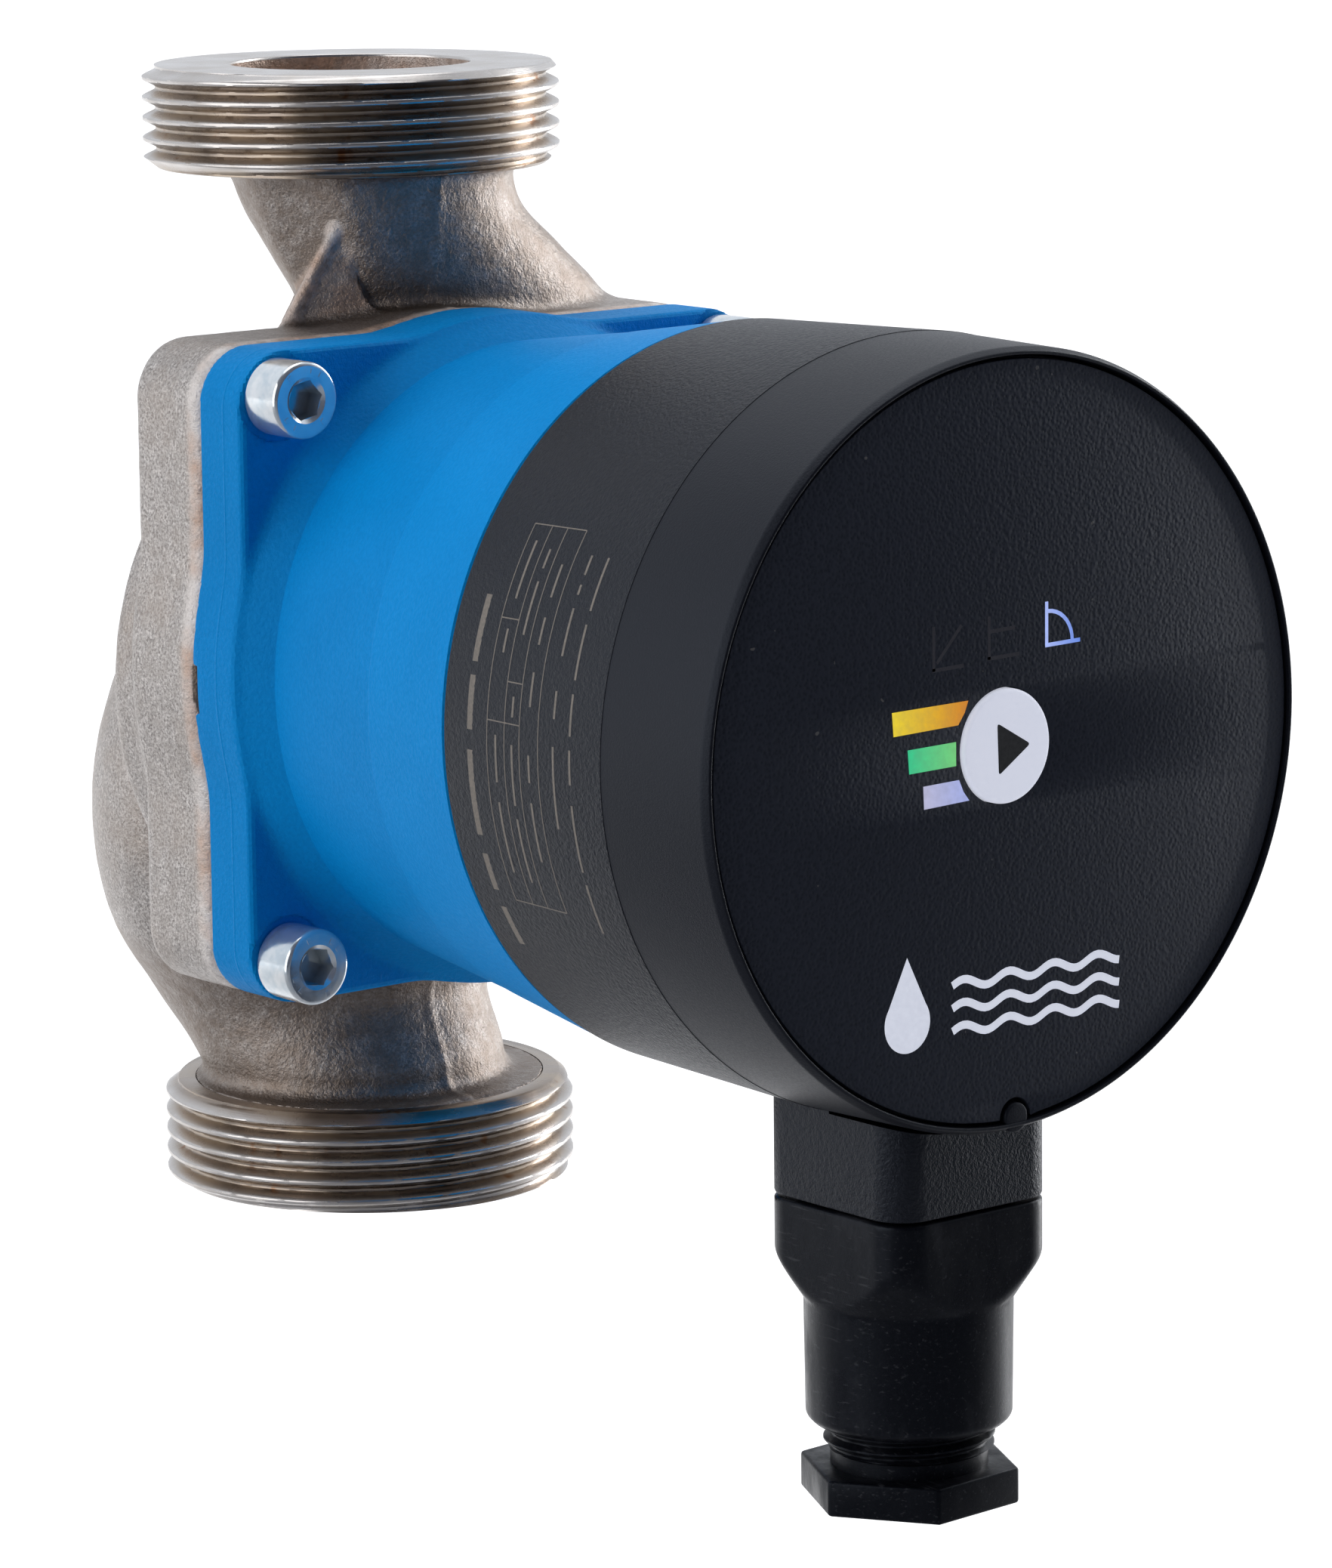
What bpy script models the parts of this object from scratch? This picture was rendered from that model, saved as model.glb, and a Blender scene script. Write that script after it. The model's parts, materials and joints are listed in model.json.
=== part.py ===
"""Inline circulator pump, built from its separate pieces.

The frame: the pipe runs up +Z through the two union ports, with the origin on
the lower port's sealing face. The motor lies along -Y, so the display faces -Y.
Every size is in metres. A "depth" is a distance in front of the pipe's axis,
measured along the motor, so depth 0.020 is y = -0.020.
"""

import math

import bmesh
import bpy
from mathutils import Matrix

# ---------------------------------------------------------------- driving sizes
GAP = 0.0003                 # left between pieces that touch

PORT_SPAN = 0.130            # sealing face to sealing face
MOTOR_HEIGHT = 0.065         # motor axis above the lower port's face
PORT_BORE = 0.0138
THREAD_CREST = 0.0239        # G 1 1/2 pipe thread, 47.8 mm over the crests
THREAD_DEPTH = 0.0015
PORT_CHAMFER = 0.0009
PORT_LENGTH = 0.0114
LOWER_BORE_END = 0.0125      # how far in from the lower face the round bore goes
UPPER_BORE_END = 0.1175

FLANGE_HALF = 0.0364         # half the width of the square motor flange
FLANGE_CORNER = 0.0065
FLANGE_HOLLOW = 0.0001       # how far the sides dip from the corners to the bulge
FLANGE_BULGE = 0.0380        # radius of the round that stands proud of the square
BOLT_OFFSET = 0.0314
BOLT_RADIUS = 0.0025
VOLUTE_BACK = 0.0010
VOLUTE_FRONT = 0.0100
VOLUTE_RADIUS = 0.0374
FLANGE_BACK = 0.0080
SPLIT = 0.0200               # where the casting and the motor meet
FLANGE_FRONT = 0.0280
STEP_DEPTH = 0.0320
CREASE_DEPTH = 0.0524
MOTOR_FRONT = 0.0688
SHELL_SEAM = 0.0958
BEZEL_FRONT = 0.1122

STEP_RADIUS = 0.0355
CREASE_RADIUS = 0.0381
BOLT_HEAD_RADIUS = 0.00425
BOLT_HEAD_HEIGHT = 0.0050
BOLT_START = 0.0090
KEY_RADIUS = 0.00231         # across the corners of the hexagonal key hole, halved
KEY_DEPTH = 0.0026
DRAIN_SIZE = (0.0060, 0.0012, 0.0054)
DRAIN_HEIGHT = 0.0637

BOX_REAR_RADIUS = 0.0406
BOX_SEAM_RADIUS = 0.0414
BEZEL_RADIUS = 0.0407
DISC_RADIUS = 0.0397
BOX_WALL = 0.0020

CHAMBER_RADIUS = 0.0310
CHAMBER_FLOOR = 0.0055
SEAT_RADIUS = 0.0336
SEAT_DEPTH = 0.0158
EYE_RADIUS = 0.0105
IMPELLER_RADIUS = 0.0280
VANES = 6
VANE_THICKNESS = 0.0013
VANE_INNER = 0.0090
VANE_OUTER = 0.0276
VANE_SWEEP = 75              # degrees from a vane's root to its tip

CAN_RADIUS = 0.0173
CAN_WALL = 0.0006
CAN_END = 0.0655
SHAFT_RADIUS = 0.0030
SHAFT_CHAMFER = 0.0005
BUSH_RADIUS = 0.0069
ROTOR_BACK = 0.0300
ROTOR_FRONT = 0.0556
CORE_RADIUS = 0.0118
MAGNET_INNER = 0.0121
MAGNET_OUTER = 0.0150
MAGNETS = 4

BUTTON_X = -0.0007
BUTTON_Z = 0.0648
BUTTON_RADIUS = 0.0060

PLUG_DEPTH = 0.0957
PLUG_HALF = 0.01125
PLUG_CORNER = 0.0040
PLUG_TOP = 0.0143
PLUG_SHOULDER = 0.0076
PLUG_ROUND_TOP = 0.0020
PLUG_BOTTOM = -0.0102
PLUG_ROUND_RADIUS = 0.0110
CONTACT_PITCH = 0.0050
CONTACT_BACK = 0.0045        # how far the row of contacts lies behind the plug's axis
GLAND_RADIUS = 0.0092
GLAND_BORE = 0.0050
GLAND_TOP = -0.0067
NUT_TOP = -0.0148
NUT_BOTTOM = -0.0187
NUT_ACROSS_FLATS = 0.0210
NUT_TURN = math.radians(26.5)

STEPS_LARGE = 32             # facets round a turned piece
STEPS_OUTER = 48             # facets round the casings that are seen
STEPS_SMALL = 16

# ---------------------------------------------------------------- frames
MOTOR = Matrix.Translation((0, 0, MOTOR_HEIGHT)) @ Matrix.Rotation(math.radians(90), 4, "X")
PIPE = Matrix.Identity(4)
PLUG = Matrix.Translation((0, -PLUG_DEPTH, 0))
BUTTON = Matrix.Translation((BUTTON_X, 0, BUTTON_Z)) @ Matrix.Rotation(math.radians(90), 4, "X")

TWIST = Matrix.Rotation(math.radians(2.7), 4, "Z")   # keeps a cutter's facets off the piece's own


def new_collection(name):
    collection = bpy.data.collections.new(name)
    bpy.context.scene.collection.children.link(collection)
    return collection


for old in list(bpy.data.objects):
    bpy.data.objects.remove(old, do_unlink=True)
PARTS = new_collection("circulator_pump")
CUTTERS = new_collection("cutters")


# ---------------------------------------------------------------- materials
def material(name, colour, roughness, metallic):
    made = bpy.data.materials.new(name)
    made.use_nodes = True
    shader = made.node_tree.nodes["Principled BSDF"]
    shader.inputs["Base Color"].default_value = (*colour, 1)
    shader.inputs["Roughness"].default_value = roughness
    shader.inputs["Metallic"].default_value = metallic
    return made


CAST = material("cast_alloy", (0.34, 0.29, 0.25), 0.55, 0.9)
PAINT = material("blue_paint", (0.012, 0.20, 0.56), 0.42, 0.0)
ZINC = material("zinc_plate", (0.62, 0.66, 0.68), 0.28, 1.0)
STAINLESS = material("stainless", (0.55, 0.55, 0.55), 0.25, 1.0)
LAMINATION = material("electrical_steel", (0.30, 0.31, 0.34), 0.45, 0.9)
MAGNET = material("magnet", (0.09, 0.09, 0.10), 0.50, 0.6)
COPPER = material("enamelled_copper", (0.60, 0.22, 0.08), 0.35, 1.0)
BRASS = material("brass", (0.70, 0.50, 0.20), 0.30, 1.0)
CERAMIC = material("ceramic", (0.75, 0.72, 0.66), 0.20, 0.0)
CARBON = material("carbon", (0.05, 0.05, 0.05), 0.45, 0.0)
RUBBER = material("rubber", (0.02, 0.02, 0.02), 0.80, 0.0)
BLACK = material("black_plastic", (0.018, 0.019, 0.021), 0.50, 0.0)
DISC = material("display_foil", (0.020, 0.026, 0.036), 0.40, 0.0)
WHITE = material("button_plastic", (0.62, 0.64, 0.72), 0.45, 0.0)
IMPELLER = material("impeller_plastic", (0.10, 0.10, 0.11), 0.40, 0.0)
BOARD = material("circuit_board", (0.02, 0.16, 0.06), 0.50, 0.0)
CLEAR = material("light_guide", (0.75, 0.78, 0.80), 0.15, 0.0)
TIN = material("tin_plate", (0.72, 0.72, 0.70), 0.30, 1.0)


# ---------------------------------------------------------------- making pieces
def finished(thing, name, where, finish, angle=35):
    """Names a piece, puts it in the pump and gives it its material."""
    thing.name = name
    thing.data.name = name
    thing.matrix_world = where
    thing.data.materials.clear()
    thing.data.materials.append(finish)
    thing.data.shade_smooth()
    thing.data.set_sharp_from_angle(angle=math.radians(angle))
    return thing


def as_cutter(thing):
    """Keeps a helper shape out of the pump."""
    for owner in list(thing.users_collection):
        owner.objects.unlink(thing)
    CUTTERS.objects.link(thing)
    thing.hide_render = True
    thing.display_type = "WIRE"
    return thing


def link(mesh, name):
    thing = bpy.data.objects.new(name, mesh)
    PARTS.objects.link(thing)
    return thing


def evaluated(thing):
    """The mesh that a piece's modifiers or curve make, as plain mesh data."""
    bpy.context.view_layer.update()
    ready = thing.evaluated_get(bpy.context.evaluated_depsgraph_get())
    return bpy.data.meshes.new_from_object(ready)


def turned(name, outline, where, finish, steps=STEPS_LARGE):
    """Turns (radius, height) points about the frame's Z. An outline that starts
    and ends on the axis is solid; any other one is closed into a ring."""
    solid = outline[0][0] == 0 and outline[-1][0] == 0
    area = 0
    for (r1, h1), (r2, h2) in zip(outline, outline[1:] + outline[:1]):
        area += r1 * h2 - r2 * h1
    points = outline if area < 0 else outline[::-1]
    edges = [(i, i + 1) for i in range(len(points) - 1)]
    if not solid:
        edges.append((len(points) - 1, 0))
    mesh = bpy.data.meshes.new(name)
    mesh.from_pydata([(r, 0, h) for r, h in points], edges, [])
    thing = link(mesh, name)
    screw = thing.modifiers.new("turn", "SCREW")
    screw.steps = steps
    screw.render_steps = steps
    screw.use_merge_vertices = True
    screw.merge_threshold = 0.00001
    screw.use_smooth_shade = False
    made = evaluated(thing)
    thing.modifiers.clear()
    thing.data = made
    return finished(thing, name, where, finish)


def round_cutter(name, radius, low, high, where, steps=STEPS_LARGE):
    """A plain round bar for cutting holes, twisted so that its facets miss the piece's own."""
    return turned(name, [(0, low), (radius, low), (radius, high), (0, high)], where @ TWIST, CAST, steps)


def plate(name, outlines, low, high, where, finish):
    """Extrudes flat outlines, the outer one first, between two heights."""
    curve = bpy.data.curves.new(name, "CURVE")
    curve.dimensions = "2D"
    curve.fill_mode = "BOTH"
    curve.extrude = (high - low) / 2
    for outline in outlines:
        spline = curve.splines.new("POLY")
        spline.points.add(len(outline) - 1)
        for point, (x, y) in zip(spline.points, outline):
            point.co = (x, y, 0, 1)
        spline.use_cyclic_u = True
    drawn = link(curve, name)
    mesh = evaluated(drawn)
    bpy.data.objects.remove(drawn)
    welded = bmesh.new()
    welded.from_mesh(mesh)
    bmesh.ops.remove_doubles(welded, verts=welded.verts, dist=0.000005)
    welded.to_mesh(mesh)
    welded.free()
    thing = link(mesh, name)
    return finished(thing, name, where @ Matrix.Translation((0, 0, (low + high) / 2)), finish)


def skin(name, rings, where, finish):
    """Joins rings of equally many points into one closed body, with flat ends."""
    shape = bmesh.new()
    made = [[shape.verts.new(point) for point in ring] for ring in rings]
    for lower, upper in zip(made, made[1:]):
        for k in range(len(lower)):
            n = (k + 1) % len(lower)
            shape.faces.new((lower[k], lower[n], upper[n], upper[k]))
    shape.faces.new(made[0][::-1])
    shape.faces.new(made[-1])
    bmesh.ops.recalc_face_normals(shape, faces=shape.faces)
    mesh = bpy.data.meshes.new(name)
    shape.to_mesh(mesh)
    shape.free()
    return finished(link(mesh, name), name, where, finish)


def loft(name, sections, where, finish, count=32):
    """Skins elliptical sections, each (height, x, y, half x, half y)."""
    rings = []
    for height, x, y, half_x, half_y in sections:
        angles = [2 * math.pi * k / count for k in range(count)]
        rings.append([(x + half_x * math.cos(a), y + half_y * math.sin(a), height) for a in angles])
    return skin(name, rings, where, finish)


def tube(name, knots, where, finish, facets=4):
    """A round bar along a smooth line through knots, each a point and the bar's radius there."""
    curve = bpy.data.curves.new(name, "CURVE")
    curve.dimensions = "3D"
    curve.resolution_u = 4
    curve.bevel_depth = 1.0
    curve.bevel_resolution = facets
    curve.use_fill_caps = True
    spline = curve.splines.new("BEZIER")
    spline.bezier_points.add(len(knots) - 1)
    for knot, (place, radius) in zip(spline.bezier_points, knots):
        knot.co = place
        knot.radius = radius
        knot.handle_left_type = "AUTO"
        knot.handle_right_type = "AUTO"
    drawn = link(curve, name)
    mesh = evaluated(drawn)
    bpy.data.objects.remove(drawn)
    welded = bmesh.new()
    welded.from_mesh(mesh)
    bmesh.ops.remove_doubles(welded, verts=welded.verts, dist=0.000005)
    bmesh.ops.recalc_face_normals(welded, faces=welded.faces)
    welded.to_mesh(mesh)
    welded.free()
    return finished(link(mesh, name), name, where, finish)


def block(name, size, centre, finish, edge=0.0):
    """A box between faces, with its edges rounded by a bevel where asked."""
    shape = bmesh.new()
    bmesh.ops.create_cube(shape, size=1.0)
    bmesh.ops.scale(shape, vec=size, verts=shape.verts)
    if edge:
        bmesh.ops.bevel(shape, geom=shape.edges[:], offset=edge, segments=2, affect="EDGES", profile=0.5)
    mesh = bpy.data.meshes.new(name)
    shape.to_mesh(mesh)
    shape.free()
    return finished(link(mesh, name), name, Matrix.Translation(centre), finish)


def change(thing, operation, other):
    """Cuts another shape from a piece, or joins it on, and keeps the other as a guide."""
    boolean = thing.modifiers.new(other.name, "BOOLEAN")
    boolean.operation = operation
    boolean.solver = "EXACT"
    boolean.object = as_cutter(other)
    return thing


def cut(thing, *others):
    for other in others:
        change(thing, "DIFFERENCE", other)
    return thing


def join(thing, *others):
    for other in others:
        change(thing, "UNION", other)
    return thing


def arc(x, y, radius, start, end, count):
    """Points along an arc, with the angles in degrees."""
    points = []
    for k in range(count + 1):
        angle = math.radians(start + (end - start) * k / count)
        points.append((x + radius * math.cos(angle), y + radius * math.sin(angle)))
    return points


def rounded_square(half, corner, count=4, along=0):
    """A square with round corners, and with a few points along each side where asked."""
    outline = []
    inset = half - corner
    for quarter in range(4):
        turn = math.radians(90 * quarter)
        cos, sin = round(math.cos(turn)), round(math.sin(turn))
        corner_x, corner_y = inset * (cos - sin), inset * (sin + cos)
        outline += arc(corner_x, corner_y, corner, 90 * quarter, 90 * quarter + 90, count)
        for k in range(1, along + 1):
            step = inset * (1 - 2 * k / (along + 1))
            outline.append((cos * step - sin * half, sin * step + cos * half))
    return outline


def rectangle(half_x, half_y):
    return [(half_x, half_y), (-half_x, half_y), (-half_x, -half_y), (half_x, -half_y)]


def flange_outline():
    """A square with round corners, whose sides swell where the round body passes them."""
    bulge = math.degrees(math.acos(FLANGE_HALF / FLANGE_BULGE))
    inset = FLANGE_HALF + FLANGE_HOLLOW - FLANGE_CORNER
    outline = []
    for quarter in range(4):
        turn = 90 * quarter
        cos, sin = math.cos(math.radians(turn)), math.sin(math.radians(turn))
        corner = (inset * (cos - sin), inset * (sin + cos))
        outline += arc(0, 0, FLANGE_BULGE, turn - bulge, turn + bulge, 6)
        outline += arc(*corner, FLANGE_CORNER, turn, turn + 90, 5)
    return outline


def bolt_places():
    return [(x * BOLT_OFFSET, z * BOLT_OFFSET) for x, z in ((-1, 1), (1, 1), (1, -1), (-1, -1))]


def bolt_circles():
    return [arc(x, z, BOLT_RADIUS + GAP, 0, 337.5, 15) for x, z in bolt_places()]


# ---------------------------------------------------------------- hydraulic end
# Elliptical sections of the two cast necks: height, x, y, half x, half y.
SUCTION_NECK = (
    (0.0100, 0, 0.0018, 0.0175, 0.0165),
    (0.0140, -0.0003, 0.0032, 0.0179, 0.0180),
    (0.0215, -0.0005, 0.0080, 0.0190, 0.0200),
    (0.0300, -0.0010, 0.0082, 0.0243, 0.0208),
    (0.0380, -0.0010, 0.0080, 0.0276, 0.0216),
    (0.0460, -0.0010, 0.0076, 0.0284, 0.0220),
    (0.0560, -0.0010, 0.0066, 0.0270, 0.0212),
    (0.0670, -0.0005, 0.0050, 0.0230, 0.0188),
    (0.0760, 0, 0.0034, 0.0165, 0.0140),
    (0.0810, 0, 0.0020, 0.0090, 0.0080),
)
DISCHARGE_NECK = (
    (0.0780, 0.0120, -0.0050, 0.0190, 0.0100),
    (0.0920, 0.0130, -0.0042, 0.0210, 0.0115),
    (0.1030, 0.0104, -0.0040, 0.0190, 0.0125),
    (0.1080, 0.0068, -0.0030, 0.0172, 0.0135),
    (0.1130, 0.0034, -0.0016, 0.0158, 0.0148),
    (0.1200, 0.0014, -0.0008, 0.0164, 0.0160),
)
# Points on the middle lines of the waterways, each with its radius.
SUCTION_PASSAGE = (
    ((0, 0, 0.0100), 0.0134), ((0, 0.0070, 0.0260), 0.0136),
    ((0, 0.0100, 0.0460), 0.0136), ((0, 0.0080, 0.0620), 0.0120),
)
DISCHARGE_PASSAGE = (
    ((0.0160, -0.0112, 0.0862), 0.0042), ((0.0110, -0.0080, 0.0960), 0.0066),
    ((0.0030, -0.0020, 0.1100), 0.0108), ((0, 0, 0.1200), 0.0134),
)
# The wedge between the flange and the upper neck, in the motor's x and up.
WEB_OUTLINE = ((-0.0165, 0.0340), (0.0040, 0.0340), (0.0040, 0.0455), (-0.0078, 0.0455))
WEB_DEPTHS = (0.0062, 0.0084)


def port_outline(face, inward):
    """A threaded end at its full thread diameter, from its sealing face towards the pump."""
    crest = THREAD_CREST - THREAD_DEPTH / 2
    return [
        (0, face), (crest - PORT_CHAMFER, face), (crest, face + inward * PORT_CHAMFER),
        (THREAD_CREST, face + inward * 2 * PORT_CHAMFER),
        (THREAD_CREST, face + inward * (PORT_LENGTH - PORT_CHAMFER)),
        (crest, face + inward * PORT_LENGTH), (0, face + inward * PORT_LENGTH),
    ]


def make_pump_housing():
    """The casting: two threaded ports, the suction elbow, the volute and the motor flange."""
    housing = plate("pump_housing", [flange_outline()], FLANGE_BACK, SPLIT - GAP / 2, MOTOR, CAST)
    volute = turned(
        "volute_boss",
        [(0, VOLUTE_BACK), (VOLUTE_RADIUS - 0.0022, VOLUTE_BACK),
         (VOLUTE_RADIUS - 0.0002, VOLUTE_BACK + 0.0018), (VOLUTE_RADIUS, VOLUTE_FRONT), (0, VOLUTE_FRONT)],
        MOTOR, CAST,
    )
    lower_port = turned("lower_port", port_outline(0, 1), PIPE, CAST, STEPS_OUTER)
    upper_port = turned("upper_port", port_outline(PORT_SPAN, -1), PIPE, CAST, STEPS_OUTER)
    suction_neck = loft("suction_neck", SUCTION_NECK, PIPE, CAST)
    discharge_neck = loft("discharge_neck", DISCHARGE_NECK, PIPE, CAST)
    web = plate("neck_web", [WEB_OUTLINE], *WEB_DEPTHS, MOTOR, CAST)
    join(housing, volute, discharge_neck, suction_neck, upper_port, lower_port, web)

    past_split = SPLIT + 0.0030
    chamber = round_cutter("impeller_chamber", CHAMBER_RADIUS, CHAMBER_FLOOR, past_split, MOTOR)
    seat = round_cutter("housing_seat", SEAT_RADIUS, SEAT_DEPTH, past_split, MOTOR)
    lower_bore = round_cutter("lower_bore", PORT_BORE, -0.0100, LOWER_BORE_END, PIPE)
    upper_bore = round_cutter("upper_bore", PORT_BORE, UPPER_BORE_END, PORT_SPAN + 0.0100, PIPE)
    suction = tube("suction_passage", SUCTION_PASSAGE, PIPE, CAST)
    discharge = tube("discharge_passage", DISCHARGE_PASSAGE, PIPE, CAST)
    eye = round_cutter("suction_eye", EYE_RADIUS, -0.0080, 0.0080, MOTOR, 24)
    cut(housing, chamber, seat, lower_bore, upper_bore, suction, eye, discharge)
    for number, (x, z) in enumerate(bolt_places(), 1):
        place = MOTOR @ Matrix.Translation((x, z, 0))
        hole = round_cutter(f"bolt_hole_{number}", BOLT_RADIUS + GAP, 0.0010, past_split, place, STEPS_SMALL)
        cut(housing, hole)


def make_wet_end():
    """What turns in the water, and what seals the chamber behind it."""
    turned(
        "neck_ring",
        [(0.0088, 0.0010), (EYE_RADIUS - GAP, 0.0010), (EYE_RADIUS - GAP, 0.0062), (0.0088, 0.0062)],
        MOTOR, STAINLESS, STEPS_SMALL,
    )
    turned(
        "bearing_plate",
        [(0.0072, 0.0161), (0.0332, 0.0161), (0.0332, 0.0172), (0.0104, 0.0172), (0.0096, 0.0250),
         (0.0072, 0.0250)],
        MOTOR, STAINLESS,
    )
    turned(
        "housing_gasket", [(0.0300, 0.0175), (0.0330, 0.0175), (0.0330, 0.0184), (0.0300, 0.0184)],
        MOTOR, RUBBER,
    )
    inner = CAN_RADIUS - CAN_WALL
    turned(
        "rotor_can",
        [(0, CAN_END), (CAN_RADIUS, CAN_END), (CAN_RADIUS, 0.0194), (0.0333, 0.0194), (0.0333, 0.0187),
         (inner, 0.0187), (inner, CAN_END - CAN_WALL), (0, CAN_END - CAN_WALL)],
        MOTOR, STAINLESS,
    )
    for name, low, high in (("front_bearing", 0.0165, 0.0245), ("rear_bearing", 0.0585, 0.0640)):
        turned(
            name,
            [(SHAFT_RADIUS + GAP, low), (BUSH_RADIUS, low), (BUSH_RADIUS, high), (SHAFT_RADIUS + GAP, high)],
            MOTOR, CERAMIC, STEPS_SMALL,
        )
    turned(
        "rear_bearing_holder",
        [(0.0072, 0.0580), (0.0164, 0.0580), (0.0164, 0.0600), (0.0092, 0.0600), (0.0092, 0.0646),
         (0.0072, 0.0646)],
        MOTOR, STAINLESS, STEPS_SMALL,
    )


# ---------------------------------------------------------------- rotor
def vane_outline(count=6):
    """One backward-swept impeller vane, seen along the shaft."""
    front, back = [], []
    for k in range(count + 1):
        along = k / count
        radius = VANE_INNER + along * (VANE_OUTER - VANE_INNER)
        angle = math.radians(-VANE_SWEEP * along ** 0.8)
        half = VANE_THICKNESS / 2 / radius
        front.append((radius * math.cos(angle + half), radius * math.sin(angle + half)))
        back.append((radius * math.cos(angle - half), radius * math.sin(angle - half)))
    return front + back[::-1]


def make_rotor():
    """The shaft with its impeller, magnets and sleeve, which turn as one."""
    hub = turned(
        "impeller",
        [(SHAFT_RADIUS + GAP, 0.0085), (0.0062, 0.0085), (0.0080, 0.0120), (IMPELLER_RADIUS, 0.0136),
         (IMPELLER_RADIUS, 0.0151), (SHAFT_RADIUS + GAP, 0.0151)],
        MOTOR, IMPELLER,
    )
    for number in range(VANES):
        turn = Matrix.Rotation(math.radians(360 / VANES * number), 4, "Z") @ TWIST
        join(hub, plate(f"vane_{number + 1}", [vane_outline()], 0.0106, 0.0144, MOTOR @ turn, IMPELLER))
    turned(
        "impeller_shroud",
        [(0.0069, 0.0040), (0.0083, 0.0040), (0.0083, 0.0066), (0.0110, 0.0078), (IMPELLER_RADIUS, 0.0090),
         (IMPELLER_RADIUS, 0.0101), (0.0104, 0.0089), (0.0069, 0.0075)],
        MOTOR, IMPELLER,
    )
    turned(
        "shaft",
        [(0, 0.0070), (SHAFT_RADIUS - SHAFT_CHAMFER, 0.0070), (SHAFT_RADIUS, 0.0070 + SHAFT_CHAMFER),
         (SHAFT_RADIUS, 0.0635 - SHAFT_CHAMFER), (SHAFT_RADIUS - SHAFT_CHAMFER, 0.0635), (0, 0.0635)],
        MOTOR, CERAMIC, STEPS_SMALL,
    )
    turned(
        "thrust_washer",
        [(SHAFT_RADIUS + GAP, 0.0255), (0.0066, 0.0255), (0.0066, 0.0275), (SHAFT_RADIUS + GAP, 0.0275)],
        MOTOR, CARBON, STEPS_SMALL,
    )
    turned(
        "rotor_core",
        [(SHAFT_RADIUS + GAP, ROTOR_BACK), (CORE_RADIUS, ROTOR_BACK), (CORE_RADIUS, ROTOR_FRONT),
         (SHAFT_RADIUS + GAP, ROTOR_FRONT)],
        MOTOR, LAMINATION,
    )
    share = 360 / MAGNETS
    for number in range(MAGNETS):
        start, end = share * number + 3, share * (number + 1) - 3
        outline = arc(0, 0, MAGNET_OUTER, start, end, 8) + arc(0, 0, MAGNET_INNER, end, start, 8)
        plate(f"rotor_magnet_{number + 1}", [outline], ROTOR_BACK, ROTOR_FRONT, MOTOR, MAGNET)
    inner, back, front = MAGNET_OUTER + GAP, ROTOR_BACK - 0.0008, ROTOR_FRONT + 0.0008
    turned(
        "rotor_sleeve",
        [(inner, back), (inner + 0.0007, back), (inner + 0.0007, front), (inner, front)],
        MOTOR, STAINLESS,
    )


# ---------------------------------------------------------------- motor
STATOR_BACK = 0.0325
STATOR_FRONT = 0.0535
STATOR_RADIUS = 0.0312
SLOT_ROOT = 0.0262
POLE_FACE = 0.0178
POLE_HALF = 0.0040           # half the width of a pole's neck
SHOE_TIP = 0.0013
SHOE_BACK = 0.0199
SHOE_ANGLE = 24
SLOTS = 6
COIL_INNER = 0.0203
COIL_OUTER = 0.0245
COIL_HALF = 0.0078
COIL_OVERHANG = 0.0040


def stator_hole():
    """The hole through the laminations: the bore, with a winding slot between each two poles."""
    outline = []
    for pole in range(SLOTS):
        middle = 360 / SLOTS * pole
        neck = math.degrees(math.asin(POLE_HALF / SLOT_ROOT))
        waist = math.degrees(math.atan2(POLE_HALF, SHOE_BACK))
        outline.append(arc(0, 0, math.hypot(SHOE_BACK, POLE_HALF), middle - waist, middle - waist, 1)[0])
        outline.append(arc(0, 0, POLE_FACE + SHOE_TIP, middle - SHOE_ANGLE, middle, 1)[0])
        outline += arc(0, 0, POLE_FACE, middle - SHOE_ANGLE, middle + SHOE_ANGLE, 4)
        outline.append(arc(0, 0, POLE_FACE + SHOE_TIP, middle + SHOE_ANGLE, middle, 1)[0])
        outline.append(arc(0, 0, math.hypot(SHOE_BACK, POLE_HALF), middle + waist, middle + waist, 1)[0])
        outline += arc(0, 0, SLOT_ROOT, middle + neck, middle + 360 / SLOTS - neck, 3)
    return outline


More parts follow.
